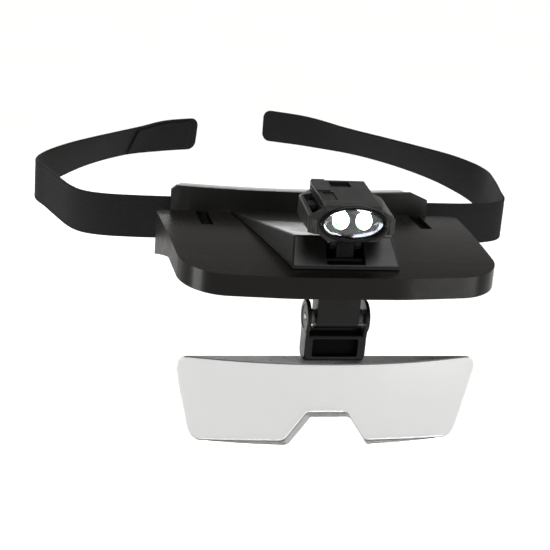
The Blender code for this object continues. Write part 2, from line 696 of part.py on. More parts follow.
def knuckle(name, low_x, high_x, root_z):
    """Round lug about the tilt axis, on a web that reaches up or down to root_z."""
    reach = math.copysign(KNUCKLE_RADIUS, TILT_Z - root_z)
    y = y_at(TILT_DEPTH)
    round_end = KNUCKLE_RADIUS * 0.99
    outline = filleted([
        (y - KNUCKLE_RADIUS, root_z, 0), (y - KNUCKLE_RADIUS, TILT_Z + reach, round_end),
        (y + KNUCKLE_RADIUS, TILT_Z + reach, round_end), (y + KNUCKLE_RADIUS, root_z, 0),
    ])
    return prism(name, outline, "X", low_x, high_x)


def tilt_bore(name):
    start = at(-12 * mm, TILT_DEPTH, TILT_Z)
    end = at(12 * mm, TILT_DEPTH, TILT_Z)
    return rod(name, start, end, TILT_BORE, segments=20)


def make_tilt_pin():
    steel = material("tilt_pin_steel", (0.35, 0.35, 0.36), 0.3, metallic=1.0)
    reach = LUG_OUTER + 0.6 * mm
    return rod("tilt_pin", at(-reach, TILT_DEPTH, TILT_Z), at(reach, TILT_DEPTH, TILT_Z),
               TILT_PIN_RADIUS, steel, segments=20)


def make_lamp_base():
    black = material("lamp_base_black", (0.012, 0.012, 0.012), 0.35)
    outline = filleted([
        (-15.5 * mm, y_at(58 * mm), 3 * mm), (-15.5 * mm, y_at(74.1 * mm), 2 * mm),
        (15.5 * mm, y_at(74.1 * mm), 2 * mm), (15.5 * mm, y_at(58 * mm), 3 * mm),
    ])
    base = prism("lamp_base", outline, "Z", LAMP_BASE_Z, LAMP_FLOOR_Z - GAP, black)
    for side, sign in (("left", -1), ("right", 1)):
        near, far = sorted((sign * (KNUCKLE_HALF + GAP), sign * LUG_OUTER))
        join(base, knuckle("lug_" + side, near, far, LAMP_BASE_Z + mm))
        hole = at(sign * LAMP_SCREW_X, LAMP_SCREW_DEPTH, 0.0)
        top = hole + Vector((0, 0, 20 * mm))
        cut(base, rod("base_screw_hole_" + side, hole, top, LAMP_SCREW_HOLE, segments=20))
    cut(base, tilt_bore("base_bore"))
    return base


def make_lamp_housing():
    black = material("lamp_black", (0.020, 0.019, 0.018), 0.38)
    seam = COVER_THICKNESS + GAP
    shoulders = [
        at(LAMP_TOP_HALF, 50 * mm, 24.3 * mm), at(18.6 * mm, 56.5 * mm, 22.8 * mm),
        at(LAMP_HALF, 58 * mm, 15.2 * mm), at(14 * mm, 52 * mm, LAMP_FLOOR_Z),
        at(18.7 * mm, 79 * mm, 19.5 * mm), at(18.3 * mm, 80 * mm, LAMP_FLOOR_Z),
        at(14.5 * mm, LAMP_FRONT_DEPTH, LAMP_FLOOR_Z), at(13.0 * mm, LAMP_FRONT_DEPTH, 22.5 * mm),
        at(16.5 * mm, LAMP_FRONT_DEPTH, 18.0 * mm),
    ]
    housing = hull("lamp_housing", both_sides(shoulders), black)
    spine = [
        at(LAMP_TOP_HALF, LAMP_REAR_DEPTH, lamp_top(LAMP_REAR_DEPTH)),
        at(LAMP_TOP_HALF, LAMP_REAR_DEPTH, 15 * mm), at(LAMP_TOP_HALF, 53 * mm, LAMP_FLOOR_Z),
        at(LAMP_TOP_HALF, 80.5 * mm, lamp_top(80.5 * mm)),
        at(LAMP_TOP_HALF, LAMP_FRONT_DEPTH, 22.8 * mm), at(LAMP_TOP_HALF, LAMP_FRONT_DEPTH, LAMP_FLOOR_Z),
    ]
    chin = [
        at(14.5 * mm, 74.6 * mm, LAMP_FLOOR_Z + mm), at(11 * mm, 74.6 * mm, 9.3 * mm),
        at(11 * mm, LAMP_FRONT_DEPTH, 9.3 * mm), at(15.5 * mm, LAMP_FRONT_DEPTH, LAMP_FLOOR_Z + mm),
    ]
    join(housing, hull("lamp_spine", both_sides(spine)), hull("lamp_chin", both_sides(chin)))
    lid = [
        at(25 * mm, LAMP_REAR_DEPTH - 5 * mm, lamp_top(LAMP_REAR_DEPTH - 5 * mm) - seam),
        at(25 * mm, LAMP_REAR_DEPTH - 5 * mm, 40 * mm),
        at(25 * mm, COVER_FRONT_DEPTH + GAP, lamp_top(COVER_FRONT_DEPTH) - seam),
        at(25 * mm, COVER_FRONT_DEPTH + GAP, 40 * mm),
    ]
    cut(housing, hull("cover_seat", both_sides(lid)))
    well = rod("cell_well", at(0, CELL_DEPTH, CELL_LOWER_Z - mm), at(0, CELL_DEPTH, 40 * mm),
               CELL_RADIUS + 0.4 * mm, segments=40)
    cut(housing, well)
    front = prism("lamp_front_recess", oval(OVAL_HALF_WIDTH, OVAL_HALF_HEIGHT, 0, OVAL_Z), "Y",
                  y_at(95 * mm), y_at(74.6 * mm))
    cut(housing, front)
    groove = box("switch_groove", at(-17.2 * mm, 76.5 * mm, 19.3 * mm), at(-13.0 * mm, 57 * mm, 30 * mm))
    cut(housing, groove)
    for side, sign in (("left", -1), ("right", 1)):
        hole = at(sign * LAMP_SCREW_X, LAMP_SCREW_DEPTH, 10 * mm)
        top = hole + Vector((0, 0, 5.4 * mm))
        cut(housing, rod("housing_bore_" + side, hole, top, LAMP_SCREW_HOLE, segments=20))
    return housing


def make_battery_cover():
    black = material("cover_black", (0.022, 0.021, 0.020), 0.36)
    rear, front = LAMP_REAR_DEPTH, COVER_FRONT_DEPTH
    corners = [at(LAMP_TOP_HALF, depth, lamp_top(depth) - drop)
               for depth in (rear, front) for drop in (0.0, COVER_THICKNESS)]
    cover = hull("battery_cover", both_sides(corners), black)
    slot_floor = at(-4.6 * mm, 57.5 * mm, lamp_top(54 * mm) - 0.9 * mm)
    grip = box("finger_slot", slot_floor, at(4.6 * mm, 51 * mm, 40 * mm))
    cut(cover, grip)
    return cover


def make_cell(name, low_z):
    steel = material(name + "_steel", (0.55, 0.55, 0.56), 0.25, metallic=1.0)
    return rod(name, at(0, CELL_DEPTH, low_z), at(0, CELL_DEPTH, low_z + CELL_THICKNESS),
               CELL_RADIUS, steel, segments=40)


def make_contact(name, low_z):
    brass = material(name + "_brass", (0.55, 0.38, 0.14), 0.3, metallic=1.0)
    low = at(-3 * mm, CELL_DEPTH + 6 * mm, low_z)
    return box(name, low, at(3 * mm, CELL_DEPTH - 6 * mm, low_z + 0.4 * mm), brass)


def make_oval_plate(name, inset, near, far, look):
    outline = oval(OVAL_HALF_WIDTH - inset, OVAL_HALF_HEIGHT - inset, 0, OVAL_Z)
    return prism(name, outline, "Y", y_at(far), y_at(near), look)


def make_reflector():
    silver = material("reflector_silver", (0.80, 0.82, 0.84), 0.12, metallic=1.0)
    reflector = make_oval_plate("reflector", GAP, 77 * mm, 81.2 * mm, silver)
    for side, x in (("left", -LED_X), ("right", LED_X)):
        cup = rod("cup_" + side, at(x, 76 * mm, LED_Z), at(x, 81.3 * mm, LED_Z), 2.8 * mm, segments=32,
                  end_radius=4.6 * mm)
        cut(reflector, cup)
    return reflector


def make_led(side, x):
    glow = material("led_" + side, (0.95, 0.97, 1.0), 0.1, emission=20.0)
    tip = 78.7 * mm
    led = rod("led_" + side, at(x, 76.6 * mm, LED_Z), at(x, tip, LED_Z), LED_RADIUS, glow, segments=28)
    bm = bmesh.new()
    bmesh.ops.create_uvsphere(bm, u_segments=28, v_segments=12, radius=LED_RADIUS)
    turn = Matrix.Rotation(math.radians(90), 4, "X")
    bmesh.ops.transform(bm, matrix=Matrix.Translation(at(x, tip, LED_Z)) @ turn, verts=bm.verts)
    join(led, add_object("led_dome_" + side, bm))
    cut(led, box("led_rear_" + side, at(x - 5 * mm, 76.6 * mm, LED_Z - 5 * mm),
                 at(x + 5 * mm, 70 * mm, LED_Z + 5 * mm)))
    return led


def make_bezel():
    gloss = material("bezel_black", (0.010, 0.010, 0.010), 0.12)
    outline = oval(OVAL_HALF_WIDTH + 1.4 * mm, OVAL_HALF_HEIGHT + 1.2 * mm, 0, OVAL_Z)
    bezel = prism("lamp_bezel", outline, "Y", y_at(85.2 * mm), y_at(LAMP_FRONT_DEPTH + GAP), gloss)
    hole = prism("bezel_hole", oval(OVAL_HALF_WIDTH - mm, OVAL_HALF_HEIGHT - mm, 0, OVAL_Z), "Y",
                 y_at(90 * mm), y_at(80 * mm))
    cut(bezel, hole)
    return bezel


def make_switch():
    black = material("switch_black", (0.006, 0.006, 0.006), 0.5)
    near = at(-16.8 * mm, 69 * mm, 19.6 * mm)
    knob = box("switch_slider", near, at(-13.4 * mm, 62.5 * mm, 22.2 * mm), black)
    return bevel(knob, 0.4 * mm, 1)


# ---- assembly ------------------------------------------------------------------------------------

def main():
    make_visor()
    make_cradle()
    make_hinge_block()
    screw_steel = material("screw_steel", (0.32, 0.32, 0.33), 0.35, metallic=1.0)
    for side, x in (("left", -FLANGE_SCREW_X), ("right", FLANGE_SCREW_X)):
        bottom = at(x, FLANGE_SCREW_DEPTH, FLANGE_TOP_Z - FLANGE_THICKNESS - GAP - 1.4 * mm)
        make_screw("block_screw_" + side, screw_steel, bottom, at(x, FLANGE_SCREW_DEPTH, 3.4 * mm),
                   1.2 * mm, 2.5 * mm, 1.4 * mm)

    make_band()
    make_pad()
    make_strap("left", LEFT_ROUTE)
    make_strap("right", RIGHT_ROUTE)
    make_rivet("left", -RIVET_X)
    make_rivet("right", RIVET_X)
    hook = material("hook_black", (0.014, 0.014, 0.014), 0.85)
    loop = material("loop_black", (0.016, 0.016, 0.016), 0.95)
    offset = (STRAP_THICKNESS + PATCH_THICKNESS) / 2 + GAP
    make_patch("hook_patch", LEFT_ROUTE, -offset, hook)
    make_patch("loop_patch", RIGHT_ROUTE, offset, loop)

    holder = make_lens_holder()
    pin = make_hinge_pin()
    make_hinge_washer("left", -1)
    make_hinge_washer("right", 1)
    lens = make_lens()
    hang_on("lens_hinge_axis", at(0, HINGE_DEPTH, HINGE_Z), [holder, pin])
    hang_on("lens_slide_axis", at(0, LENS_BACK_DEPTH, LENS_TOP_Z), [lens])

    make_lamp_foot()
    make_tilt_pin()
    lamp = [make_lamp_base(), make_lamp_housing(), make_reflector(), make_bezel()]
    lamp += [make_led("left", -LED_X), make_led("right", LED_X)]
    green = material("board_green", (0.02, 0.10, 0.04), 0.5)
    clear = material("window_clear", (0.95, 0.97, 0.98), 0.03, transmission=1.0)
    lamp.append(make_oval_plate("circuit_board", 0.8 * mm, 75.2 * mm, 76.3 * mm, green))
    lamp.append(make_oval_plate("lamp_window", GAP, 81.5 * mm, 82.9 * mm, clear))
    lamp.append(make_cell("cell_lower", CELL_LOWER_Z))
    lamp.append(make_cell("cell_upper", CELL_LOWER_Z + CELL_THICKNESS + GAP))
    lamp.append(make_contact("contact_lower", CELL_LOWER_Z - 0.7 * mm))
    lamp.append(make_contact("contact_upper", CELL_LOWER_Z + 2 * CELL_THICKNESS + 2 * GAP))
    for side, sign in (("left", -1), ("right", 1)):
        bottom = at(sign * LAMP_SCREW_X, LAMP_SCREW_DEPTH, LAMP_BASE_Z - GAP - mm)
        tip = at(sign * LAMP_SCREW_X, LAMP_SCREW_DEPTH, 14.8 * mm)
        lamp.append(make_screw("lamp_screw_" + side, screw_steel, bottom, tip, 1.1 * mm, 2.0 * mm, mm))
    hang_on("lamp_tilt_axis", at(0, TILT_DEPTH, TILT_Z), lamp)
    hang_on("cover_slide_axis", at(0, LAMP_REAR_DEPTH, LAMP_TOP_REAR_Z), [make_battery_cover()])
    hang_on("switch_slide_axis", at(-15 * mm, 66 * mm, 20 * mm), [make_switch()])


main()
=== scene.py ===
"""Looks of the head visor magnifier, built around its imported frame.

Metres, +Z up, -Y is the way the wearer looks. "Depth" is the distance forward of the plate's rear
edge. Each piece has its own function and rides on its body, and most replace a node of the frame.
"""

import json
import math

import bmesh
import bpy
from mathutils import Matrix, Vector, geometry, noise


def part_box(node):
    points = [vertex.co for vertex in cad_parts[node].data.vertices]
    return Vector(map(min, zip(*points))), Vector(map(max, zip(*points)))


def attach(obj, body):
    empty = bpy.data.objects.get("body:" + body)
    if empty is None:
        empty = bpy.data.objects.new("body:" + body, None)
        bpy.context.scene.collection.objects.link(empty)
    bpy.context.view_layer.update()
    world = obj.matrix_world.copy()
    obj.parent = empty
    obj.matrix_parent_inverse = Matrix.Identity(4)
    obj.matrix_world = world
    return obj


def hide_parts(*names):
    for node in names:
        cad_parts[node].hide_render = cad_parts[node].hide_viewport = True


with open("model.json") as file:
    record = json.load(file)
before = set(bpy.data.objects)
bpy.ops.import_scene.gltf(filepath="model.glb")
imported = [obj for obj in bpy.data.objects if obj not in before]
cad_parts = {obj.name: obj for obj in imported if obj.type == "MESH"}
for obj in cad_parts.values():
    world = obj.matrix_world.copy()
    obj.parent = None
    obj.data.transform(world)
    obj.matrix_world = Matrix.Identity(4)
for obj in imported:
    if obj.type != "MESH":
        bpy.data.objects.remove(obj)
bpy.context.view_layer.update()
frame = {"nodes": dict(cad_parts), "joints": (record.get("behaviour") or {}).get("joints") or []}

mm = 0.001
GAP = 0.3 * mm
BOX = {name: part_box(name) for name in frame["nodes"]}
JOINTS = {joint["name"]: joint for joint in frame["joints"]}
SIDES = (("left", -1), ("right", 1))
ABOVE = 40.0 * mm              # a height above every piece, where cutters end
AHEAD = 95.0 * mm              # a depth in front of every piece, where cutters end
SPAN = 90.0 * mm               # half the length of a cutter that spans the plate
CUTTERS = []

# Visor plate
PLATE_REAR_Y = BOX["visor_shell"][1].y
PLATE_HALF_WIDTH_REAR = BOX["visor_shell"][1].x
PLATE_HALF_WIDTH_FRONT = 70.5 * mm
PLATE_DEPTH_SIDE = 83.0 * mm
PLATE_DEPTH = 87.0 * mm
PLATE_DROP = 5.5 * mm
WALL = 2.0 * mm
FRONT_CORNER_RADIUS = 22.0 * mm
RIM_HEIGHT = 9.5 * mm
SKIRT_STEP_DEPTH = 42.0 * mm
SLOT_X = 52.6 * mm
SLOT_WIDTH = 5.7 * mm
SLOT_LENGTH = 23.3 * mm

# Forehead band, pad and straps
BAND_FRONT_Y = PLATE_REAR_Y + 0.4 * mm
BAND_THICKNESS = 2.0 * mm
BOW_HALF_SPAN = 62.0 * mm
BOW = 7.5 * mm
STRAP_WIDTH = 21.0 * mm
STRAP_THICKNESS = 1.6 * mm
STRAP_MIDDLE_Z = -6.8 * mm
RIVET_X = 58.0 * mm
RIVET_Z = -10.0 * mm
RIVET_HEAD_RADIUS = 3.6 * mm
RIVET_HEAD = 0.9 * mm
RIVET_HOLE = 1.8 * mm
PATCH_LENGTH = 52.0 * mm
PATCH_THICKNESS = 1.0 * mm

# Strap routes: x, y in mm and the lean in degrees (positive puts the lower edge outward)
LEFT_ROUTE = (
    (-46, -2.8, 0), (-55, -1, 0), (-64, 1.2, 0), (-82, 2, 0), (-97, 4, 0), (-107, 9, 0), (-113, 19, 0),
    (-118, 36, 0), (-123, 55, 0), (-128, 74, 0), (-124, 95, 6), (-111, 123, 16), (-92, 153, 26),
    (-68, 182, 27), (-47, 201, 13), (-25, 212, 8),
)
RIGHT_ROUTE = (
    (46, -2.8, 0), (55, -1, 0), (64, 1.2, 0), (84, 2, 0), (100, 6, 0), (109, 15, 0), (113, 33, -4),
    (118, 58, -10), (122, 86, -14), (119, 113, 0), (110, 142, 18), (94, 175, 28), (74, 206, 28),
    (52, 233, 10), (26, 250, 0),
)

# Lamp cradle and lens hinge
CRADLE_REAR_DEPTH = 2.5 * mm
CRADLE_REAR_HALF = 39.0 * mm
CRADLE_RIDGE_DEPTH = 68.0 * mm
CRADLE_RIDGE_HALF = 21.6 * mm
CRADLE_RIDGE_Z = 7.8 * mm
CRADLE_FRONT_DEPTH = 78.5 * mm
CRADLE_FRONT_HALF = 23.8 * mm
NOTCH_HALF = 8.6 * mm
NOTCH_FLOOR_Z = -2.4 * mm
NOTCH_DEPTH = 61.5 * mm
HINGE = Vector(JOINTS["lens_flip"]["pos_m"])
BLOCK_HALF = 9.6 * mm
BLOCK_RADIUS = 5.2 * mm
FLANGE_HALF = 17.5 * mm
FLANGE_REAR_DEPTH = 59.0 * mm
FLANGE_FRONT_DEPTH = 75.0 * mm
FLANGE_CORNER_RADIUS = 2.5 * mm
FLANGE_TOP_Z = -7.0 * mm
FLANGE_THICKNESS = 2.4 * mm
FLANGE_SCREW_X = 14.0 * mm
FLANGE_SCREW_DEPTH = 66.0 * mm
FLANGE_SCREW_HOLE = 1.6 * mm
HEAD_RADIUS = 7.6 * mm
CHEEK_OUTER = 14.1 * mm
CHEEK_INNER = 12.3 * mm
PIN_RADIUS = 1.5 * mm
PIN_BORE = 1.8 * mm
HOLDER_TOP_Z = -37.0 * mm
HOLDER_BOTTOM_Z = -49.3 * mm
HOLDER_FRONT_DEPTH = 71.3 * mm
HOLDER_REAR_DEPTH = 61.0 * mm
HOLDER_HALF = 13.1 * mm
HOLDER_WINDOW_HALF = 10.4 * mm
HOLDER_WINDOW_DEPTH = 68.4 * mm

# Lens plate
LENS_TOP_Z = -49.6 * mm
LENS_BOTTOM_Z = BOX["lens_plate"][0].z
LENS_BACK_Y = BOX["lens_plate"][1].y
LENS_FRONT_Y = BOX["lens_plate"][0].y
LENS_HALF_TOP = 70.4 * mm
LENS_HALF_BOTTOM = 61.6 * mm
LENS_RADIUS = 215.0 * mm
LENS_NOTCH_TOP_Z = -75.2 * mm
TONGUE_LOW = Vector((-9.0 * mm, PLATE_REAR_Y - 67.5 * mm, LENS_TOP_Z))
TONGUE_HIGH = Vector((9.0 * mm, PLATE_REAR_Y - 64.5 * mm, -39.0 * mm))

# Lamp
TILT = Vector(JOINTS["lamp_tilt"]["pos_m"])
KNUCKLE_RADIUS = 3.2 * mm
KNUCKLE_HALF = 3.9 * mm
LUG_OUTER = 6.8 * mm
TILT_PIN_RADIUS = 1.1 * mm
TILT_BORE = 1.4 * mm
LAMP_REAR_DEPTH = 49.0 * mm
LAMP_FRONT_DEPTH = 83.0 * mm
LAMP_TOP_HALF = 12.3 * mm
LAMP_TOP_REAR_Z = 28.0 * mm
LAMP_TOP_SLOPE = 0.12
LAMP_HALF = 19.3 * mm
LAMP_FLOOR_Z = 12.1 * mm
LAMP_BASE_Z = 10.0 * mm
LAMP_BASE_HALF = 15.5 * mm
LAMP_BASE_REAR_DEPTH = 58.0 * mm
LAMP_RECESS_DEPTH = 74.6 * mm
LAMP_SCREW_X = 12.7 * mm
LAMP_SCREW_DEPTH = 61.5 * mm
LAMP_SCREW_HOLE = 1.4 * mm
COVER_THICKNESS = 2.0 * mm
COVER_FRONT_DEPTH = 74.4 * mm
OVAL_Z = 17.3 * mm
OVAL_HALF_WIDTH = 13.6 * mm
OVAL_HALF_HEIGHT = 6.8 * mm
LED_X = 4.95 * mm
LED_Z = 18.4 * mm
LED_RADIUS = 2.5 * mm
CELL_RADIUS = 10.0 * mm
CELL_THICKNESS = 3.2 * mm
CELL_DEPTH = 63.2 * mm


# ---- camera, light and floor ---------------------------------------------------------------------

def make_camera():
    """A view from the front, a little left of the object and above it, and slightly rolled."""
    yaw, pitch, roll = math.radians(12.2), math.radians(17.0), math.radians(4.4)
    distance = 602 * mm
    focal_length = 84.8
    forward = Vector((math.sin(yaw) * math.cos(pitch), math.cos(yaw) * math.cos(pitch), -math.sin(pitch)))
    level = Vector((math.cos(yaw), -math.sin(yaw), 0.0))
    upright = level.cross(forward)
    right = level * math.cos(roll) + upright * math.sin(roll)
    up = upright * math.cos(roll) - level * math.sin(roll)
    aim = Vector((0.0, PLATE_REAR_Y - 26.5 * mm, 0.0)) - right * 21.2 * mm - up * 22.0 * mm
    data = bpy.data.cameras.new("camera")
    data.sensor_width = 36.0
    data.lens = focal_length
    data.clip_start = 0.01
    camera = bpy.data.objects.new("camera", data)
    camera.matrix_world = Matrix.Translation(aim - forward * distance) @ Matrix(
        (right, up, -forward)).transposed().to_4x4()
    bpy.context.scene.collection.objects.link(camera)
    bpy.context.scene.camera = camera


def make_world():
    """A studio that is bright at the horizon and dim overhead, so that black gloss reads as black."""
    world = bpy.data.worlds.new("studio")
    world.use_nodes = True
    bpy.context.scene.world = world
    tree = world.node_tree
    place = tree.nodes.new("ShaderNodeTexCoord")
    split = tree.nodes.new("ShaderNodeSeparateXYZ")
    ramp = tree.nodes.new("ShaderNodeValToRGB")
    tree.links.new(place.outputs["Generated"], split.inputs["Vector"])
    tree.links.new(split.outputs["Z"], ramp.inputs["Fac"])
    tree.links.new(ramp.outputs["Color"], tree.nodes["Background"].inputs["Color"])
    stops = ((0.0, 0.98), (0.09, 0.82), (0.29, 0.40), (0.52, 0.34), (1.0, 0.35))
    for i, (height, level) in enumerate(stops):
        stop = ramp.color_ramp.elements[i] if i < 2 else ramp.color_ramp.elements.new(height)
        stop.position = height
        stop.color = (level, level * 0.985, level * 0.96, 1.0)


def add_light(name, kind, place, aim, energy, **settings):
    data = bpy.data.lights.new(name, kind)
    data.energy = energy
    for key, value in settings.items():
        setattr(data, key, value)
    light = bpy.data.objects.new(name, data)
    light.location = place
    light.visible_camera = False
    light.rotation_euler = (Vector(aim) - Vector(place)).to_track_quat("-Z", "Y").to_euler()
    bpy.context.scene.collection.objects.link(light)


def make_lights():
    middle = (0.0, -0.05, -0.02)
    add_light("key_light", "SUN", (0.2, -0.37, 0.91), middle, 2.75, angle=math.radians(50))
    add_light("left_softbox", "AREA", (-0.80, -0.26, -0.16), middle, 4.4, shape="RECTANGLE", size=0.35,
              size_y=0.30)
    add_light("back_softbox", "AREA", (-0.05, 1.5, 0.20), middle, 5.6, shape="RECTANGLE", size=1.0,
              size_y=0.22)
    add_light("right_softbox", "AREA", (0.68, -0.72, -0.15), middle, 4.2, shape="RECTANGLE", size=0.62,
              size_y=0.30)


def make_floor():
    floor_z = -0.32
    half = 9.0
    bm = bmesh.new()
    bmesh.ops.create_grid(bm, x_segments=1, y_segments=1, size=half)
    mesh = bpy.data.meshes.new("floor")
    bm.to_mesh(mesh)
    bm.free()
    floor = bpy.data.objects.new("floor", mesh)
    floor.location = (0.0, 0.0, floor_z)
    bpy.context.scene.collection.objects.link(floor)
    paper = Look("paper_floor", (0.90, 0.90, 0.89), 0.75)
    paper.shade(paper.noise(3.0), 0.98, 1.02)
    mesh.materials.append(paper.made)


# ---- materials -----------------------------------------------------------------------------------

# Sockets of a Mix node that mixes colours: their names repeat, so they go by number
MIX_FIRST, MIX_SECOND, MIX_RESULT = 6, 7, 2


class Look:
    """A material built around one Principled BSDF, in the piece's own coordinates."""

    def __init__(self, name, colour, roughness, metallic=0.0, **sockets):
        self.made = bpy.data.materials.new(name)
        self.made.use_nodes = True
        self.tree = self.made.node_tree
        self.shader = self.tree.nodes["Principled BSDF"]
        self.colour = Vector(colour)
        self.roughness = roughness
        self.set("Base Color", (*colour, 1.0))
        self.set("Roughness", roughness)
        self.set("Metallic", metallic)
        for key, value in sockets.items():
            self.set(key.replace("_", " "), value)
        self.place = self.node("ShaderNodeTexCoord")

    def set(self, socket, value):
        self.shader.inputs[socket].default_value = value

    def node(self, kind, inputs=None, **settings):
        """Add a node with its settings and with fixed values on its inputs."""
        made = self.tree.nodes.new(kind)
        for key, value in settings.items():
            setattr(made, key, value)
        for socket, value in (inputs or {}).items():
            made.inputs[socket].default_value = value
        return made

    def link(self, source, target):
        self.tree.links.new(source, target)

    def noise(self, scale, detail=3.0, stretch=(1.0, 1.0, 1.0)):
        mapping = self.node("ShaderNodeMapping", {"Scale": stretch})
        self.link(self.place.outputs["Object"], mapping.inputs["Vector"])
        texture = self.node("ShaderNodeTexNoise", {"Scale": scale, "Detail": detail})
        self.link(mapping.outputs["Vector"], texture.inputs["Vector"])
        return texture.outputs["Fac"]

    def cells(self, scale, randomness=1.0, source="Object"):
        """Distance to the middle of the nearest of many irregular cells."""
        texture = self.node("ShaderNodeTexVoronoi", {"Scale": scale, "Randomness": randomness})
        self.link(self.place.outputs[source], texture.inputs["Vector"])
        return texture.outputs["Distance"]

    def spread(self, source, low, high, source_low=0.3, source_high=0.7):
        """A source's middle range stretched over low to high."""
        made = self.node("ShaderNodeMapRange", {
            "From Min": source_low, "From Max": source_high, "To Min": low, "To Max": high,
        })
        self.link(source, made.inputs["Value"])
        return made.outputs["Result"]

    def math(self, operation, a, b=0.0):
        made = self.node("ShaderNodeMath", operation=operation)
        for socket, value in zip(made.inputs, (a, b)):
            if isinstance(value, (int, float)):
                socket.default_value = value
            else:
                self.link(value, socket)
        return made.outputs["Value"]

    def recolour(self, factor, first, second):
        """Mix a colour or a socket with a second colour, into the base colour."""
        made = self.node("ShaderNodeMix", data_type="RGBA")
        self.link(factor, made.inputs["Factor"])
        if isinstance(first, bpy.types.NodeSocket):
            self.link(first, made.inputs[MIX_FIRST])
        else:
            made.inputs[MIX_FIRST].default_value = (*first, 1.0)
        made.inputs[MIX_SECOND].default_value = (*second, 1.0)
        self.link(made.outputs[MIX_RESULT], self.shader.inputs["Base Color"])

    def shade(self, source, low, high, tint=None):
        """Vary the colour between low and high times its value, or towards a tint."""
        self.recolour(self.spread(source, 0.0, 1.0), self.colour * low, tint or self.colour * high)

    def wear(self, amount, tint):
        """Lighten convex edges a little, over the shade set before."""
        edge = self.node("ShaderNodeNewGeometry").outputs["Pointiness"]
        patchy = self.spread(self.noise(420.0), 0.0, amount)
        factor = self.math("MULTIPLY", self.spread(edge, 0.0, 1.0, 0.53, 0.60), patchy)
        self.recolour(factor, self.shader.inputs["Base Color"].links[0].from_socket, tint)

    def blotch(self, source, amount):
        """Vary the roughness by amount either way."""
        low, high = self.roughness - amount, self.roughness + amount
        self.link(self.spread(source, low, high), self.shader.inputs["Roughness"])

    def bump(self, height, strength, distance):
        made = self.node("ShaderNodeBump", {"Strength": strength, "Distance": distance})
        self.link(height, made.inputs["Height"])
        normal = self.shader.inputs["Normal"]
        if normal.is_linked:
            self.link(normal.links[0].from_socket, made.inputs["Normal"])
        self.link(made.outputs["Normal"], normal)


def rubbed(colour):
    """The paler colour of a plastic's rubbed edges."""
    return [c * 4.0 + 0.02 for c in colour]


def moulded(name, colour, roughness, specular=0.25):
    """Injection-moulded plastic: fine spark texture, faint flow marks and rubbed edges."""
    look = Look(name, colour, roughness, Specular_IOR_Level=specular)
    look.shade(look.noise(45.0, 4.0), 0.85, 1.2)
    look.wear(0.25, rubbed(colour))
    look.blotch(look.noise(160.0, 5.0), 0.05)
    look.bump(look.noise(5200.0, 2.0), 0.3, 0.02 * mm)
    look.bump(look.noise(38.0, 2.0), 0.12, 0.2 * mm)
    return look.made


def glossy(name, colour, roughness):
    """Polished plastic with hairline scratches and a trace of orange peel."""
    look = Look(name, colour, roughness, Specular_IOR_Level=0.11)
    look.shade(look.noise(30.0, 4.0), 0.85, 1.2)
    look.wear(0.2, rubbed(colour))
    scratches = look.noise(260.0, 3.0, (1.0, 14.0, 14.0))
    look.blotch(scratches, 0.04)
    look.bump(scratches, 0.04, 0.02 * mm)
    look.bump(look.noise(90.0, 2.0), 0.03, 0.1 * mm)
    return look.made


def metal(name, colour, roughness, brush=(1.0, 1.0, 1.0)):
    """Bare metal with fine tool marks, which brush stretches along an axis."""
    look = Look(name, colour, roughness, 1.0)
    look.shade(look.noise(300.0, 4.0), 0.85, 1.1)
    look.blotch(look.noise(900.0, 4.0, brush), 0.08)
    look.bump(look.noise(1500.0, 3.0, brush), 0.15, 0.02 * mm)
    return look.made


def woven(name, colour, across_pitch, along_pitch, relief):
    """Plain-woven webbing in the strap's own coordinates, in mm along and across it."""
    look = Look(name, colour, 0.82, Specular_IOR_Level=0.15)
    split = look.node("ShaderNodeSeparateXYZ")
    look.link(look.place.outputs["UV"], split.inputs["Vector"])
    along, across = split.outputs["X"], split.outputs["Y"]
    yarn = look.math("DIVIDE", across, across_pitch)
    rib = look.math("SINE", look.math("MULTIPLY", look.math("FRACT", yarn), math.pi))
    phase = look.math("MULTIPLY", look.math("FLOOR", yarn), math.pi)
    turn = look.math("ADD", look.math("MULTIPLY", along, math.tau / along_pitch), phase)
    pick = look.math("ADD", look.math("SINE", turn), 1.6)
    weave = look.math("MULTIPLY", rib, look.math("MULTIPLY", pick, 0.38))
    # Painted shade and highlight: the colour is darker between the yarns and lighter on their crowns,
    # with a random tone from the noise.
    look.shade(look.math("MULTIPLY", weave, look.spread(look.noise(70.0, 4.0), 0.75, 1.1)), 0.7, 1.25)
    look.bump(weave, 0.75, relief)
    look.bump(look.noise(2600.0, 3.0), 0.35, 0.08 * mm)
    return look.made


def knit(name, colour):
    """Brushed knit over foam: small loops with a soft nap."""
    look = Look(name, colour, 0.92, Sheen_Weight=0.4, Sheen_Roughness=0.6)
    look.shade(look.noise(420.0, 3.0), 0.95, 1.04)
    look.bump(look.cells(1100.0), 0.5, 0.12 * mm)
    look.bump(look.noise(3000.0, 3.0), 0.3, 0.06 * mm)
    return look.made


def tape(name, colour, pitch, relief):
    """Hook or loop tape: rows of small stems, or a felt of loops."""
    look = Look(name, colour, 0.88, Specular_IOR_Level=0.1)
    stems = look.cells(1.0 / pitch, 0.35, "UV")
    # Painted shade and highlight: the colour is lighter at the middle of each stem and darker between the
    # stems.
    look.shade(stems, 1.7, 0.5)
    look.bump(look.math("SUBTRACT", 1.0, stems), 0.9, relief)
    look.bump(look.noise(2400.0, 4.0), 0.4, 0.08 * mm)
    return look.made


def clear(name, colour, roughness, frost=0.0):
    """Clear acrylic with a faint moulding ripple, or with a sawn, frosted edge."""
    look = Look(name, colour, roughness, IOR=1.49, Transmission_Weight=1.0)
    look.shade(look.noise(25.0), 0.99, 1.0)
    if frost:
        look.blotch(look.noise(500.0, 4.0, (1.0, 1.0, 6.0)), frost)
        look.bump(look.noise(900.0, 3.0), 0.25, 0.05 * mm)
    else:
        look.bump(look.noise(14.0, 1.0), 0.02, 0.2 * mm)
    return look.made


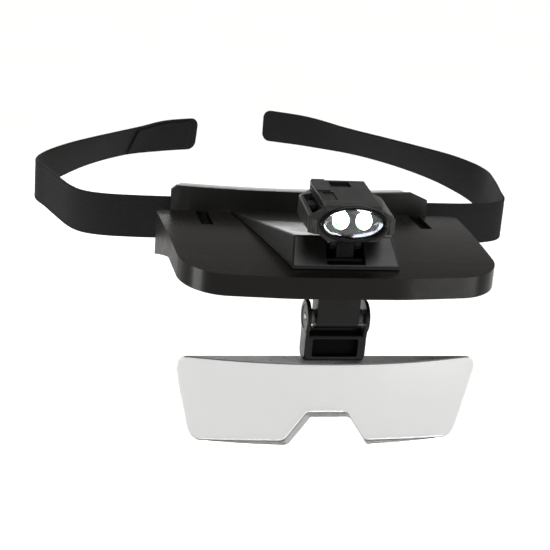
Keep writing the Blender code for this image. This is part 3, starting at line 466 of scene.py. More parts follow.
def glow(name):
    """The lit face of a white diode."""
    look = Look(name, (0.95, 0.97, 1.0), 0.15, Emission_Strength=26.0)
    look.set("Emission Color", (0.93, 0.97, 1.0, 1.0))
    look.shade(look.noise(900.0), 0.96, 1.0)
    look.bump(look.noise(700.0), 0.05, 0.05 * mm)
    return look.made


def circuit(name):
    """Solder-masked board with copper tracks under the mask."""
    look = Look(name, (0.012, 0.085, 0.03), 0.35)
    tracks = look.node("ShaderNodeTexBrick", {"Scale": 420.0, "Mortar Size": 0.08})
    look.link(look.place.outputs["Object"], tracks.inputs["Vector"])
    look.shade(tracks.outputs["Fac"], 1.0, 1.0, (0.05, 0.2, 0.06))
    look.bump(tracks.outputs["Fac"], 0.4, 0.04 * mm)
    return look.made


# ---- shapes --------------------------------------------------------------------------------------

def y_at(depth):
    return PLATE_REAR_Y - depth


def at(x, depth, z):
    return Vector((x, y_at(depth), z))


def bow_at(x):
    return BOW * (x / BOW_HALF_SPAN) ** 2


def plate_top(depth):
    return -PLATE_DROP * (max(depth, 0.0) / PLATE_DEPTH) ** 2


def lamp_top(depth):
    return LAMP_TOP_REAR_Z - LAMP_TOP_SLOPE * (depth - LAMP_REAR_DEPTH)


def add_object(name, bm, look=None):
    """Link a finished bmesh as a piece, or as a cutter when it has no material."""
    bmesh.ops.recalc_face_normals(bm, faces=bm.faces)
    mesh = bpy.data.meshes.new(name)
    bm.to_mesh(mesh)
    bm.free()
    mesh.shade_smooth()
    obj = bpy.data.objects.new(name, mesh)
    bpy.context.scene.collection.objects.link(obj)
    if look is None:
        CUTTERS.append(obj)
    else:
        mesh.materials.append(look)
    return obj


def filleted(corners, step=math.radians(5)):
    """Outline of a polygon whose corners (u, v, radius) are rounded with arcs."""
    outline = []
    for i, (u, v, radius) in enumerate(corners):
        here = Vector((u, v))
        before = (Vector(corners[i - 1][:2]) - here).normalized()
        after = (Vector(corners[(i + 1) % len(corners)][:2]) - here).normalized()
        if radius == 0:
            outline.append(here)
            continue
        half = before.angle(after) / 2
        centre = here + (before + after).normalized() * radius / math.sin(half)
        start = here + before * radius / math.tan(half) - centre
        end = here + after * radius / math.tan(half) - centre
        first = math.atan2(start.y, start.x)
        sweep = math.remainder(math.atan2(end.y, end.x) - first, math.tau)
        count = max(3, math.ceil(abs(sweep) / step))
        for k in range(count + 1):
            angle = first + sweep * k / count
            outline.append(centre + radius * Vector((math.cos(angle), math.sin(angle))))
    return outline


def lamp_oval(inset, count=96):
    """The oval of the lamp's front in (x, z), moved inward by inset."""
    turns = [math.tau * k / count for k in range(count)]
    half_u, half_v = OVAL_HALF_WIDTH - inset, OVAL_HALF_HEIGHT - inset
    return [Vector((half_u * math.cos(t), OVAL_Z + half_v * math.sin(t))) for t in turns]


def quarter_turn(count):
    """The angles of a quarter turn in count equal steps."""
    return [math.radians(90) * k / count for k in range(count + 1)]


def prism(name, outline, axis, low, high, look=None):
    """Extrude an outline along X, Y or Z; its (u, v) are the two other axes in order."""
    index = "XYZ".index(axis)
    way = Vector((0, 0, 0))
    way[index] = high - low
    bm = bmesh.new()
    corners = []
    for u, v in outline:
        place = [u, v]
        place.insert(index, low)
        corners.append(bm.verts.new(place))
    swept = bmesh.ops.extrude_face_region(bm, geom=[bm.faces.new(corners)])
    verts = [item for item in swept["geom"] if isinstance(item, bmesh.types.BMVert)]
    bmesh.ops.translate(bm, verts=verts, vec=way)
    return add_object(name, bm, look)


def offset_outline(outline, distance):
    """Move each point of a closed outline inward along its corner's bisector."""
    area = sum(a.x * b.y - b.x * a.y for a, b in zip(outline, outline[1:] + outline[:1]))
    moved = []
    for i, point in enumerate(outline):
        before = (point - outline[i - 1]).normalized()
        after = (outline[(i + 1) % len(outline)] - point).normalized()
        inward = Vector((-before.y - after.y, before.x + after.x)).normalized()
        moved.append(point + inward * distance * (1 if area > 0 else -1))
    return moved


def slab(name, outline, low_x, high_x, edge):
    """A plate between two values of x with rounded rims; its outline is (y, z)."""
    near = [(edge - edge * math.sin(t), low_x + edge - edge * math.cos(t)) for t in quarter_turn(3)]
    far = [(inset, low_x + high_x - x) for inset, x in reversed(near)]
    bm = bmesh.new()
    rings = []
    for inset, x in near + far:
        points = offset_outline(outline, inset)
        rings.append([bm.verts.new((x, point.x, point.y)) for point in points])
    for a, b in zip(rings, rings[1:]):
        bridge(bm, a, b)
    for ring in (rings[0], rings[-1]):
        bm.faces.new(ring)
    return add_object(name, bm)


def block(name, low, high, look=None):
    """An upright block between two corners, to cut with, to join or to bevel."""
    low, high = Vector(low), Vector(high)
    outline = [(low.x, low.y), (high.x, low.y), (high.x, high.y), (low.x, high.y)]
    return prism(name, outline, "Z", low.z, high.z, look)


def bridge(bm, a, b):
    """Faces between two rings of vertices, either of which may be a single pole."""
    count = max(len(a), len(b))
    for k in range(count):
        corners = [a[k % len(a)], a[(k + 1) % len(a)], b[(k + 1) % len(b)], b[k % len(b)]]
        bm.faces.new(list(dict.fromkeys(corners)))


def turned(name, profile, place, axis, look=None, closed=False, segments=56):
    """A turned shape from (radius, height) points along an axis; closed makes a ring."""
    turn = Vector(axis).to_track_quat("Z", "Y").to_matrix()
    place = Vector(place)
    bm = bmesh.new()
    rings = []
    for radius, height in profile:
        angles = [math.tau * k / segments for k in range(segments if radius > 0 else 1)]
        local = [Vector((radius * math.cos(t), radius * math.sin(t), height)) for t in angles]
        rings.append([bm.verts.new(place + turn @ point) for point in local])
    for a, b in zip(rings, rings[1:] + (rings[:1] if closed else [])):
        bridge(bm, a, b)
    return add_object(name, bm, look)


def rounded_pin(name, centre, half_length, radius, look):
    """A pin along x with rounded ends."""
    edge = 0.3 * mm
    start = centre - Vector((half_length, 0, 0))
    length = 2 * half_length
    first = [(radius - edge + edge * math.sin(t), edge - edge * math.cos(t)) for t in quarter_turn(4)]
    last = [(r, length - h) for r, h in reversed(first)]
    return turned(name, [(0, 0)] + first + last + [(0, length)], start, (1, 0, 0), look)


def hull(name, points, look=None):
    """The convex body around named corner points."""
    bm = bmesh.new()
    for point in points:
        bm.verts.new(point)
    made = bmesh.ops.convex_hull(bm, input=bm.verts)
    bmesh.ops.delete(bm, geom=made["geom_interior"], context="VERTS")
    bmesh.ops.dissolve_limit(bm, angle_limit=math.radians(0.5), verts=bm.verts, edges=bm.edges)
    return add_object(name, bm, look)


def both_sides(points):
    return [Vector((side * x, y, z)) for x, y, z in points for side in (-1, 1)]


def combine(obj, others, operation):
    for other in others:
        modifier = obj.modifiers.new(operation.lower(), "BOOLEAN")
        modifier.operation = operation
        modifier.solver = "EXACT"
        modifier.object = other
        if other.data.materials:
            modifier.material_mode = "TRANSFER"


def cut(obj, *cutters):
    combine(obj, cutters, "DIFFERENCE")


def join(obj, *pieces):
    combine(obj, pieces, "UNION")


def lined(part, look):
    """Give a cutter or a part to join its own material, which its faces keep."""
    part.data.materials.append(look)
    return part


def drill(obj, start, end, radius):
    """Cut a round hole between two points."""
    length = (end - start).length
    profile = [(0, 0), (radius, 0), (radius, length), (0, length)]
    cut(obj, turned("drill", profile, start, end - start))


def drill_across(obj, centre, radius):
    """Bore a hinge along x through a centre on its axis."""
    reach = Vector((20 * mm, 0, 0))
    drill(obj, centre - reach, centre + reach, radius)


def drill_pair(obj, x, depth, low, high, radius):
    """Two upright holes, one on each side, between two heights."""
    for side in (-1, 1):
        drill(obj, at(side * x, depth, low), at(side * x, depth, high), radius)


def drill_flange_screws(obj):
    """Holes of the two screws that hold the hinge block and the cradle to the plate."""
    drill_pair(obj, FLANGE_SCREW_X, FLANGE_SCREW_DEPTH, -14 * mm, 4 * mm, FLANGE_SCREW_HOLE)


def drill_lamp_screws(obj, low, high):
    """Holes of the two screws that hold the lamp's base to its housing."""
    drill_pair(obj, LAMP_SCREW_X, LAMP_SCREW_DEPTH, low, high, LAMP_SCREW_HOLE)


def bevel(obj, width, segments=3, angle=28):
    modifier = obj.modifiers.new("bevel", "BEVEL")
    modifier.width = width
    modifier.segments = segments
    modifier.limit_method = "ANGLE"
    modifier.angle_limit = math.radians(angle)
    modifier.loop_slide = False
    return obj


def apply_modifiers(obj):
    depsgraph = bpy.context.evaluated_depsgraph_get()
    mesh = bpy.data.meshes.new_from_object(obj.evaluated_get(depsgraph))
    obj.modifiers.clear()
    obj.data = mesh


def settle(obj, body, slot, *nodes):
    """Apply the modifiers, keep flat faces flat, then put the piece on its body and hide the frame's
    nodes it stands for.
    """
    apply_modifiers(obj)
    obj.data.shade_smooth()
    obj.data.set_sharp_from_angle(angle=math.radians(34))
    weights = obj.modifiers.new("even_normals", "WEIGHTED_NORMAL")
    weights.keep_sharp = True
    weights.weight = 100
    apply_modifiers(obj)
    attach(obj, body)
    if nodes:
        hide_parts(*nodes)


def remove_cutters():
    for obj in CUTTERS:
        bpy.data.objects.remove(obj, do_unlink=True)


# ---- visor ---------------------------------------------------------------------------------------

def plan_outline(inset, rear_depth):
    """Plan of the visor, inset from its outer faces, with a slightly convex front edge."""
    rear = PLATE_HALF_WIDTH_REAR - inset
    front = PLATE_HALF_WIDTH_FRONT - inset
    crown = 24 * mm
    right = [
        (rear, y_at(rear_depth), 0 if inset else 4 * mm),
        (front, y_at(PLATE_DEPTH_SIDE - inset), FRONT_CORNER_RADIUS - inset),
        (crown, y_at(PLATE_DEPTH - inset), 120 * mm),
    ]
    left = [(-x, y, radius) for x, y, radius in reversed(right)]
    return filleted(right + left, math.radians(3))


def under_top(name, drop, floor):
    """A wide slab whose top follows the plate's domed top, shifted down by drop."""
    count = 28
    depths = [-6 * mm + (PLATE_DEPTH + 12 * mm) * k / count for k in range(count + 1)]
    top = [(y_at(depth), plate_top(depth) - drop) for depth in depths]
    outline = top + [(top[-1][0], floor), (top[0][0], floor)]
    return prism(name, outline, "X", -SPAN, SPAN)


def make_visor(look, side_look):
    """Moulded flat, with a tall tab at each side of its rear, then lowered along the plate's dome."""
    far = PLATE_DEPTH + 4 * mm
    tab_z = BOX["visor_shell"][0].z
    side_view = filleted([
        (y_at(0.0), 0.0, 0), (y_at(far), 0.0, 0), (y_at(far), -RIM_HEIGHT, 0),
        (y_at(SKIRT_STEP_DEPTH), -RIM_HEIGHT, 10 * mm), (y_at(0.0), tab_z, 3 * mm),
    ])
    visor = prism("visor", plan_outline(0.0, 0.0), "Z", -30 * mm, 4 * mm, look)
    combine(visor, [prism("visor_side_view", side_view, "X", -SPAN, SPAN)], "INTERSECT")
    cut(visor, prism("visor_hollow", plan_outline(WALL, -8 * mm), "Z", -40 * mm, -WALL))
    bevel(visor, 0.7 * mm)
    for side in (-1, 1):
        middle = side * SLOT_X
        low = (middle - SLOT_WIDTH / 2, y_at(SLOT_LENGTH), -6 * mm)
        cut(visor, block("slot", low, (middle + SLOT_WIDTH / 2, y_at(-4 * mm), 4 * mm)))
    drill_flange_screws(visor)
    apply_modifiers(visor)
    follow_dome(visor)
    visor.data.materials.append(side_look)
    for face in visor.data.polygons:
        if abs(face.normal.x) > 0.97 and abs(face.center.x) > SLOT_X:
            face.material_index = 1
    settle(visor, "headgear", "visor_plastic", "visor_shell")


def follow_dome(obj, spacing=2.5 * mm):
    """Slice a flat piece across and lower each slice along the plate's dome."""
    bm = bmesh.new()
    bm.from_mesh(obj.data)
    for k in range(1, int(PLATE_DEPTH / spacing)):
        everything = bm.verts[:] + bm.edges[:] + bm.faces[:]
        bmesh.ops.bisect_plane(bm, geom=everything, plane_co=at(0, k * spacing, 0), plane_no=(0, 1, 0))
    for vert in bm.verts:
        vert.co.z += plate_top(PLATE_REAR_Y - vert.co.y)
    bm.to_mesh(obj.data)
    bm.free()


def make_cradle(look):
    corners = [
        at(CRADLE_REAR_HALF, CRADLE_REAR_DEPTH, 1.0 * mm),
        at(CRADLE_REAR_HALF, CRADLE_REAR_DEPTH, -3.0 * mm),
        at(CRADLE_RIDGE_HALF, CRADLE_RIDGE_DEPTH, CRADLE_RIDGE_Z),
        at(CRADLE_FRONT_HALF, CRADLE_FRONT_DEPTH, -3.0 * mm),
        at(CRADLE_FRONT_HALF, CRADLE_FRONT_DEPTH, -8.0 * mm),
    ]
    cradle = bevel(hull("cradle", both_sides(corners), look), 0.9 * mm, 4, 12)
    notch_low = (-NOTCH_HALF, y_at(AHEAD), NOTCH_FLOOR_Z)
    cut(cradle, block("cradle_notch", notch_low, (NOTCH_HALF, y_at(NOTCH_DEPTH), 20 * mm)))
    drill_flange_screws(cradle)
    cut(cradle, under_top("cradle_seat", -GAP, -50 * mm))
    settle(cradle, "headgear", "visor_plastic", "lamp_cradle")


# ---- forehead band, pad and straps ---------------------------------------------------------------

def bowed_outline(left, right, front_y, rear_y, count=48):
    """Plan of a strip that bows back at its ends, between two heights of y at its middle."""
    xs = [left + (right - left) * k / count for k in range(count + 1)]
    front = [(x, front_y + bow_at(x)) for x in xs]
    rear = [(x, rear_y + bow_at(x)) for x in reversed(xs)]
    return front + rear


def band_corner_cut(tip_x, inner_x, top, drop):
    """Cutter for a sloping upper corner of the band."""
    outline = [(inner_x, top), (tip_x, top - drop), (tip_x, top + 9 * mm), (inner_x, top + 9 * mm)]
    return prism("band_corner", outline, "Y", -30 * mm, 20 * mm)


def rivet_place(x):
    return Vector((x, BAND_FRONT_Y + bow_at(x), RIVET_Z))


def rivet_axis(x):
    """Unit vector square to the band at x, pointing to the wearer."""
    return Vector((-2 * BOW * x / BOW_HALF_SPAN ** 2, 1, 0)).normalized()


def drill_at_rivet(obj, x, start, end, radius):
    """A hole square to the band at a rivet, between two distances from the band's front."""
    place, axis = rivet_place(x), rivet_axis(x)
    drill(obj, place + axis * start, place + axis * end, radius)


def make_band(look, rail_shade_look):
    """Bowed band with its corners cut, and the two dull rails that slide in the plate's slots, painted
    near-black as shade in the slots.
    """
    low, high = BOX["forehead_band"]
    outline = bowed_outline(low.x, high.x, BAND_FRONT_Y, BAND_FRONT_Y + BAND_THICKNESS)
    band = prism("band", outline, "Z", low.z, high.z, look)
    cut(band, band_corner_cut(low.x - mm, low.x + 2.4 * mm, high.z, 3 * mm))
    cut(band, band_corner_cut(high.x + mm, high.x - 9.5 * mm, high.z, 4.6 * mm))
    for x in (-SLOT_X, SLOT_X):
        half = SLOT_WIDTH / 2 - GAP
        back_y = BAND_FRONT_Y + bow_at(x) + mm
        web_low = (x - half, y_at(SLOT_LENGTH - GAP - 0.4 * mm), -4.5 * mm)
        web = block("rail_web", web_low, (x + half, back_y, -2.2 * mm))
        foot_low = (x - 5.5 * mm, y_at(SLOT_LENGTH + 2 * mm), -5.4 * mm)
        foot = block("rail_foot", foot_low, (x + 5.5 * mm, back_y, -2.95 * mm))
        # The rails take a near-black colour, darker than the band, as painted shade where they sit in the
        # slots.
        join(band, lined(web, rail_shade_look), lined(foot, rail_shade_look))
    bevel(band, 0.45 * mm)
    for x in (-RIVET_X, RIVET_X):
        drill_at_rivet(band, x, -5 * mm, 12 * mm, RIVET_HOLE)
    settle(band, "headgear", "band_plastic", "forehead_band")


def make_rivet(side, x, look):
    """Rivet through the band and the strap, with a low domed head on each side."""
    grip = BAND_THICKNESS + STRAP_THICKNESS + 3 * GAP
    dome = [(RIVET_HEAD_RADIUS * math.sin(t), RIVET_HEAD * math.cos(t)) for t in quarter_turn(6)]
    shank = 1.5 * mm
    lower = [(r, -GAP - h) for r, h in dome] + [(shank, -GAP)]
    upper = [(shank, grip - GAP)] + [(r, grip - GAP + h) for r, h in reversed(dome)]
    rivet = turned("rivet_" + side, lower + upper, rivet_place(x), rivet_axis(x), look)
    settle(rivet, "headgear", "fastener_steel", "strap_rivet_" + side)


def make_pad(look):
    """Foam pad under knit: crowned towards the wearer, drawn in along its ends and two channels."""
    low, high = BOX["forehead_pad"]
    stations, around = 96, 40
    front_y = -5.6 * mm
    half_height = (high.z - low.z) / 2
    middle_z = (high.z + low.z) / 2
    channels = (low.x * 0.36, high.x * 0.36)
    bm = bmesh.new()
    rings = []
    for i in range(stations + 1):
        x = low.x + (high.x - low.x) * i / stations
        from_end = min(x - low.x, high.x - x)
        lowered = max(0.0, x - 49 * mm) * 0.42 + max(0.0, -61 * mm - x) * 0.5
        fullness = min(1.0, math.sqrt(max(0.0, 1.0 - (1.0 - min(1.0, from_end / (6 * mm))) ** 2)) + 0.05)
        crease = sum(math.exp(-((x - c) / (1.6 * mm)) ** 2) for c in channels)
        back_y = bow_at(x) - bow_at(15 * mm) if abs(x) > 15 * mm else 0.0
        thickness = back_y - (front_y + bow_at(x))
        ring = []
        for k in range(around):
            turn = math.tau * k / around
            u = math.copysign(abs(math.cos(turn)) ** 0.5, math.cos(turn))
            v = math.copysign(abs(math.sin(turn)) ** 0.42, math.sin(turn))
            rise = 0.5 + 0.5 * u * fullness
            if u > 0:
                rise -= u * (0.16 * abs(v) ** 3 + 0.22 * crease * (1 - 0.5 * abs(v)))
            soft = noise.noise(Vector((x, v * half_height, u * mm)) * 140) * 0.18 * mm
            y = front_y + bow_at(x) + thickness * rise + (soft if u > 0 else 0.0)
            z = middle_z + v * half_height * (0.9 + 0.1 * fullness)
            ring.append(bm.verts.new((x, min(y, back_y), z - lowered * (0.5 + 0.5 * v))))
        rings.append(ring)
    for a, b in zip(rings, rings[1:]):
        bridge(bm, a, b)
    bm.faces.new(rings[0])
    bm.faces.new(rings[-1])
    pad = add_object("pad", bm, look)
    for x in (-RIVET_X, RIVET_X):
        drill_at_rivet(pad, x, 0.0, 5.6 * mm, RIVET_HEAD_RADIUS + mm)
    settle(pad, "headgear", "pad_foam", "forehead_pad")


def smooth_route(points, spacing=2.2 * mm):
    """Catmull-Rom curve through (x, y, lean) points, with a sample about every spacing."""
    nodes = [Vector((x * mm, y * mm, math.radians(lean))) for x, y, lean in points]
    nodes = [2 * nodes[0] - nodes[1]] + nodes + [2 * nodes[-1] - nodes[-2]]
    samples = []
    for a, b, c, d in zip(nodes, nodes[1:], nodes[2:], nodes[3:]):
        count = max(2, round((c.xy - b.xy).length / spacing))
        for k in range(count):
            t = k / count
            samples.append(0.5 * ((2 * b) + (c - a) * t + (2 * a - 5 * b + 4 * c - d) * t * t
                                  + (3 * b - a - 3 * c + d) * t * t * t))
    samples.append(nodes[-2])
    return samples


def strap_frames(samples):
    """Middle, across and outward vectors and the distance travelled at each sample of a route."""
    frames = []
    travelled = 0.0
    for i, sample in enumerate(samples):
        along = (samples[min(i + 1, len(samples) - 1)].xy - samples[max(i - 1, 0)].xy).normalized()
        out = Vector((along.y, -along.x, 0.0)) * (1 if samples[0].x > 0 else -1)
        if i:
            travelled += (sample.xy - samples[i - 1].xy).length
        across = Vector((0, 0, math.cos(sample.z))) - out * math.sin(sample.z)
        normal = out * math.cos(sample.z) + Vector((0, 0, math.sin(sample.z)))
        frames.append((Vector((sample.x, sample.y, STRAP_MIDDLE_Z)), across, normal, travelled))
    return frames


def webbing_section(half, thickness):
    """A quarter of a strap's cross-section as (across, rise): rolled selvedge, groove and body."""
    selvedge = ((0.0, 0.0), (0.12, 0.30), (0.45, 0.46), (1.1, 0.5))
    groove = ((1.9, 0.46), (2.4, 0.41), (2.9, 0.45), (4.0, 0.48))
    edge = [(half - inset * mm, rise) for inset, rise in selvedge + groove]
    body = [(half * share, 0.48) for share in (0.45, 0.22, 0.0)]
    return [(across, rise * thickness) for across, rise in edge + body]


def ribbon(name, frames, width, thickness, outward, look, round_end=5 * mm, section=None):
    """A flat band along frames with UVs in mm, and rounded corners at its free end."""
    quarter = section or webbing_section(width / 2, thickness)
    upper = quarter + [(-across, rise) for across, rise in reversed(quarter[:-1])]
    loop = upper + [(across, -rise) for across, rise in reversed(upper[1:-1])]
    total = frames[-1][3]
    bm = bmesh.new()
    uv_layer = bm.loops.layers.uv.new("UVMap")
    rings = []
    for middle, across, normal, travelled in frames:
        inset = max(0.0, round_end - (total - travelled))
        narrow = round_end - math.sqrt(max(0.0, round_end ** 2 - inset ** 2))
        ripple = noise.noise(Vector((travelled * 22, 0.0, outward * 1000))) * 0.12 * mm
        ring = []
        for u, w in loop:
            kept = u * (1 - narrow / (width / 2))
            ring.append(bm.verts.new(middle + across * kept + normal * (w + outward + ripple)))
        rings.append(ring)
    for i, (a, b) in enumerate(zip(rings, rings[1:])):
        for k in range(len(loop)):
            n = (k + 1) % len(loop)
            face = bm.faces.new((a[k], a[n], b[n], b[k]))
            places = ((i, k), (i, n), (i + 1, n), (i + 1, k))
            for corner, (row, column) in zip(face.loops, places):
                corner[uv_layer].uv = (frames[row][3] / mm, loop[column][0] / mm)
    for ring in (rings[0], rings[-1]):
        face = bm.faces.new(ring)
        for corner, (u, w) in zip(face.loops, loop):
            corner[uv_layer].uv = (w / mm, u / mm)
    return add_object(name, bm, look)


def make_strap(side, route, look):
    samples = smooth_route(route)
    end, before = samples[-1], samples[-2]
    step = (end - before) * (1.0 / (end.xy - before.xy).length)
    tail = [end - step * back * mm for back in (4.2, 3.2, 2.3, 1.5, 0.9, 0.45, 0.15)]
    samples = [s for s in samples if (s.xy - end.xy).length > 5 * mm] + tail + [end]
    strap = ribbon("webbing_" + side, strap_frames(samples), STRAP_WIDTH, STRAP_THICKNESS, 0.0, look)
    drill_at_rivet(strap, math.copysign(RIVET_X, samples[0].x), -5 * mm, 12 * mm, RIVET_HOLE)
    settle(strap, "headgear", "strap_webbing", "strap_" + side)


def stitch_row(bm, start, end, normal, thread, pitch):
    """A line of short raised stitches between two points."""
    way = end - start
    count = max(1, round(way.length / pitch))
    side = way.cross(normal).normalized() * thread
    for k in range(count):
        a = start + way * ((k + 0.16) / count)
        b = start + way * ((k + 0.84) / count)
        rise = normal * thread
        rows = [[a], [], [], [b]]
        for row, share in ((1, 0.3), (2, 0.7)):
            middle = a.lerp(b, share) + rise * 0.7
            rows[row] = [middle + side, middle + rise, middle - side, middle - rise]
        rings = [[bm.verts.new(point) for point in row] for row in rows]
        for first, second in zip(rings, rings[1:]):
            bridge(bm, first, second)


def make_patch(name, route, outward, look, thread_look, node):
    """Hook or loop strip sewn on a strap, with a stitched border."""
    frames = strap_frames(smooth_route(route))
    total = frames[-1][3]
    near = [f for f in frames if 4 * mm < total - f[3] < PATCH_LENGTH + 4 * mm]
    half = STRAP_WIDTH / 2 - 1.5 * mm
    rise = PATCH_THICKNESS * 0.5
    section = [(half, 0.0), (half - 0.1 * mm, rise * 0.7), (half - 0.4 * mm, rise * 0.8),
               (half - 1.6 * mm, rise * 0.8), (half - 1.9 * mm, rise), (half * 0.5, rise), (0.0, rise)]
    patch = ribbon(name, near, 2 * half, PATCH_THICKNESS, outward, look, mm, section)
    settle(patch, "headgear", "hook_and_loop", node)
    bm = bmesh.new()
    away = math.copysign(1.0, outward)
    edge = half - mm
    lifted = outward + away * rise * 0.8
    thread, pitch = 0.22 * mm, 2.4 * mm
    for level in (-edge, edge):
        points = [m + a * level + n * lifted for m, a, n, _ in near[1:-1]]
        for k in range(len(points) - 1):
            stitch_row(bm, points[k], points[k + 1], near[k + 1][2] * away, thread, pitch)
    for m, a, n, _ in (near[1], near[-2]):
        stitch_row(bm, m - a * edge + n * lifted, m + a * edge + n * lifted, n * away, thread, pitch)
    stitches = add_object(name + "_stitches", bm, thread_look)
    settle(stitches, "headgear", "strap_webbing")


# ---- lens hinge ----------------------------------------------------------------------------------

def make_hinge_block(look):
    """Block with a rounded foot, a sloping shoulder at its front and a screwed flange on top."""
    top_z = FLANGE_TOP_Z - FLANGE_THICKNESS / 2
    y = HINGE.y
    outline = filleted([
        (y + BLOCK_RADIUS, top_z, 0), (y + BLOCK_RADIUS, HINGE.z - BLOCK_RADIUS, BLOCK_RADIUS * 0.99),
        (y - BLOCK_RADIUS, HINGE.z - BLOCK_RADIUS, BLOCK_RADIUS * 0.99), (y - BLOCK_RADIUS, top_z, 0),
    ])
    made = prism("pivot_block", outline, "X", -BLOCK_HALF, BLOCK_HALF, look)
    shoulder = [(y - BLOCK_RADIUS - mm, -13.6 * mm), (y - BLOCK_RADIUS, -13.6 * mm),
                (y - BLOCK_RADIUS + 1.7 * mm, -10.4 * mm), (y - BLOCK_RADIUS + 1.7 * mm, -9.4 * mm),
                (y - BLOCK_RADIUS - mm, -9.4 * mm)]
    cut(made, prism("block_shoulder", shoulder, "X", -6.4 * mm, 12 * mm))
    flange = filleted([
        (-FLANGE_HALF, y_at(FLANGE_FRONT_DEPTH), FLANGE_CORNER_RADIUS),
        (-FLANGE_HALF, y_at(FLANGE_REAR_DEPTH), FLANGE_CORNER_RADIUS),
        (FLANGE_HALF, y_at(FLANGE_REAR_DEPTH), FLANGE_CORNER_RADIUS),
        (FLANGE_HALF, y_at(FLANGE_FRONT_DEPTH), FLANGE_CORNER_RADIUS),
    ])
    join(made, prism("block_flange", flange, "Z", FLANGE_TOP_Z - FLANGE_THICKNESS, FLANGE_TOP_Z))
    bevel(made, 0.35 * mm)
    drill_across(made, HINGE, PIN_BORE)
    drill_flange_screws(made)
    settle(made, "headgear", "hinge_plastic", "hinge_block")


def make_screw(name, body, node, look):
    """Pan-head screw with its head below and a cross recess."""
    low, high = BOX[node]
    place = Vector(((low.x + high.x) / 2, (low.y + high.y) / 2, low.z))
    radius = (high.x - low.x) / 2
    height = radius * 0.56
    shank = radius * 0.5
    reach = high.z - low.z
    thread = []
    level = height
    while level + 0.5 * mm < reach - 0.6 * mm:
        thread += [(shank, level), (shank * 0.82, level + 0.25 * mm)]
        level += 0.5 * mm
    profile = [(0, 0), (radius * 0.7, 0), (radius * 0.92, height * 0.22), (radius, height * 0.55),
               (radius, height)] + thread + [(shank * 0.8, reach - 0.6 * mm), (0, reach)]
    screw = turned(name, profile, place, (0, 0, 1), look)
    arm, half = radius * 0.55, 0.32 * mm
    for u, v in ((arm, half), (half, arm)):
        size = Vector((u, v, height * 0.5))
        cut(screw, block("recess", place - size, place + size))
    settle(screw, body, "fastener_steel", node)


def make_lens_holder(look, hollow_shade_look):
    """Holder of the lens: two cheeks with round heads over a hollow crossbar with a front window, whose
    inside is painted near-black as shade.
    """
    bar = filleted([
        (y_at(HOLDER_FRONT_DEPTH), HOLDER_TOP_Z, 1.2 * mm),
        (y_at(HOLDER_REAR_DEPTH), HOLDER_TOP_Z, 1.2 * mm),
        (y_at(HOLDER_REAR_DEPTH - 1.2 * mm), HOLDER_BOTTOM_Z, 3.0 * mm),
        (y_at(HOLDER_FRONT_DEPTH), HOLDER_BOTTOM_Z, 1.8 * mm),
    ])
    holder = prism("holder", bar, "X", -HOLDER_HALF, HOLDER_HALF, look)
    front, rear = HOLDER_FRONT_DEPTH, HOLDER_REAR_DEPTH
    lip_low = (-HOLDER_HALF, y_at(rear + 4.8 * mm), HOLDER_TOP_Z - 1.4 * mm)
    lip = block("rear_lip", lip_low, (HOLDER_HALF, y_at(rear + 1.0 * mm), HOLDER_TOP_Z + 1.7 * mm))
    join(holder, bevel(lip, 0.3 * mm, 2))
    cheek = filleted([
        (y_at(front + 3.0 * mm), HINGE.z, 4 * mm), (y_at(front + 0.5 * mm), HINGE.z - 7.5 * mm, 9 * mm),
        (y_at(front - 0.1 * mm), HOLDER_BOTTOM_Z + 0.4 * mm, 3.4 * mm),
        (y_at(rear + 0.2 * mm), HOLDER_BOTTOM_Z + 0.4 * mm, 3.4 * mm),
        (y_at(rear + 0.8 * mm), HINGE.z - 7.5 * mm, 9 * mm), (y_at(rear - 1.2 * mm), HINGE.z, 4 * mm),
    ])
    for side in (-1, 1):
        start = HINGE + Vector((side * CHEEK_INNER, 0, 0))
        thickness = CHEEK_OUTER - CHEEK_INNER
        inner, outer = sorted((side * CHEEK_INNER, side * (CHEEK_OUTER - 0.25 * mm)))
        boss = [(0, 0.1 * mm), (HEAD_RADIUS, 0.1 * mm), (HEAD_RADIUS, thickness - 0.5 * mm),
                (HEAD_RADIUS - 0.15 * mm, thickness - 0.2 * mm), (HEAD_RADIUS - 0.5 * mm, thickness),
                (HEAD_RADIUS - 2.2 * mm, thickness), (HEAD_RADIUS - 2.5 * mm, thickness - 0.35 * mm),
                (0, thickness - 0.35 * mm)]
        join(holder, slab("cheek", cheek, inner, outer, 0.35 * mm),
             turned("cheek_boss", boss, start, (side, 0, 0), segments=96))
    socket_low = TONGUE_LOW - Vector((GAP, GAP, 2 * mm))
    socket = block("lens_socket", socket_low, TONGUE_HIGH + Vector((GAP, GAP, GAP)))
    low_z, high_z = HOLDER_BOTTOM_Z + 2.4 * mm, HOLDER_TOP_Z - 1.6 * mm
    window = filleted([
        (-HOLDER_WINDOW_HALF, low_z, mm), (HOLDER_WINDOW_HALF, low_z, mm),
        (HOLDER_WINDOW_HALF, high_z, mm), (-HOLDER_WINDOW_HALF, high_z, mm),
    ])
    opening = prism("holder_window", window, "Y", y_at(front + 3 * mm), y_at(HOLDER_WINDOW_DEPTH))
    # The socket and window walls take a near-black colour, painted shade inside the hollow.
    cut(holder, lined(socket, hollow_shade_look), lined(opening, hollow_shade_look))
    drill_across(holder, HINGE, PIN_BORE)
    settle(holder, "lens_arm", "hinge_plastic", "lens_holder")


def make_hinge_pin(look):
    pin = rounded_pin("pivot_pin", HINGE, CHEEK_OUTER - 0.2 * mm, PIN_RADIUS, look)
    settle(pin, "lens_arm", "fastener_steel", "hinge_pin")


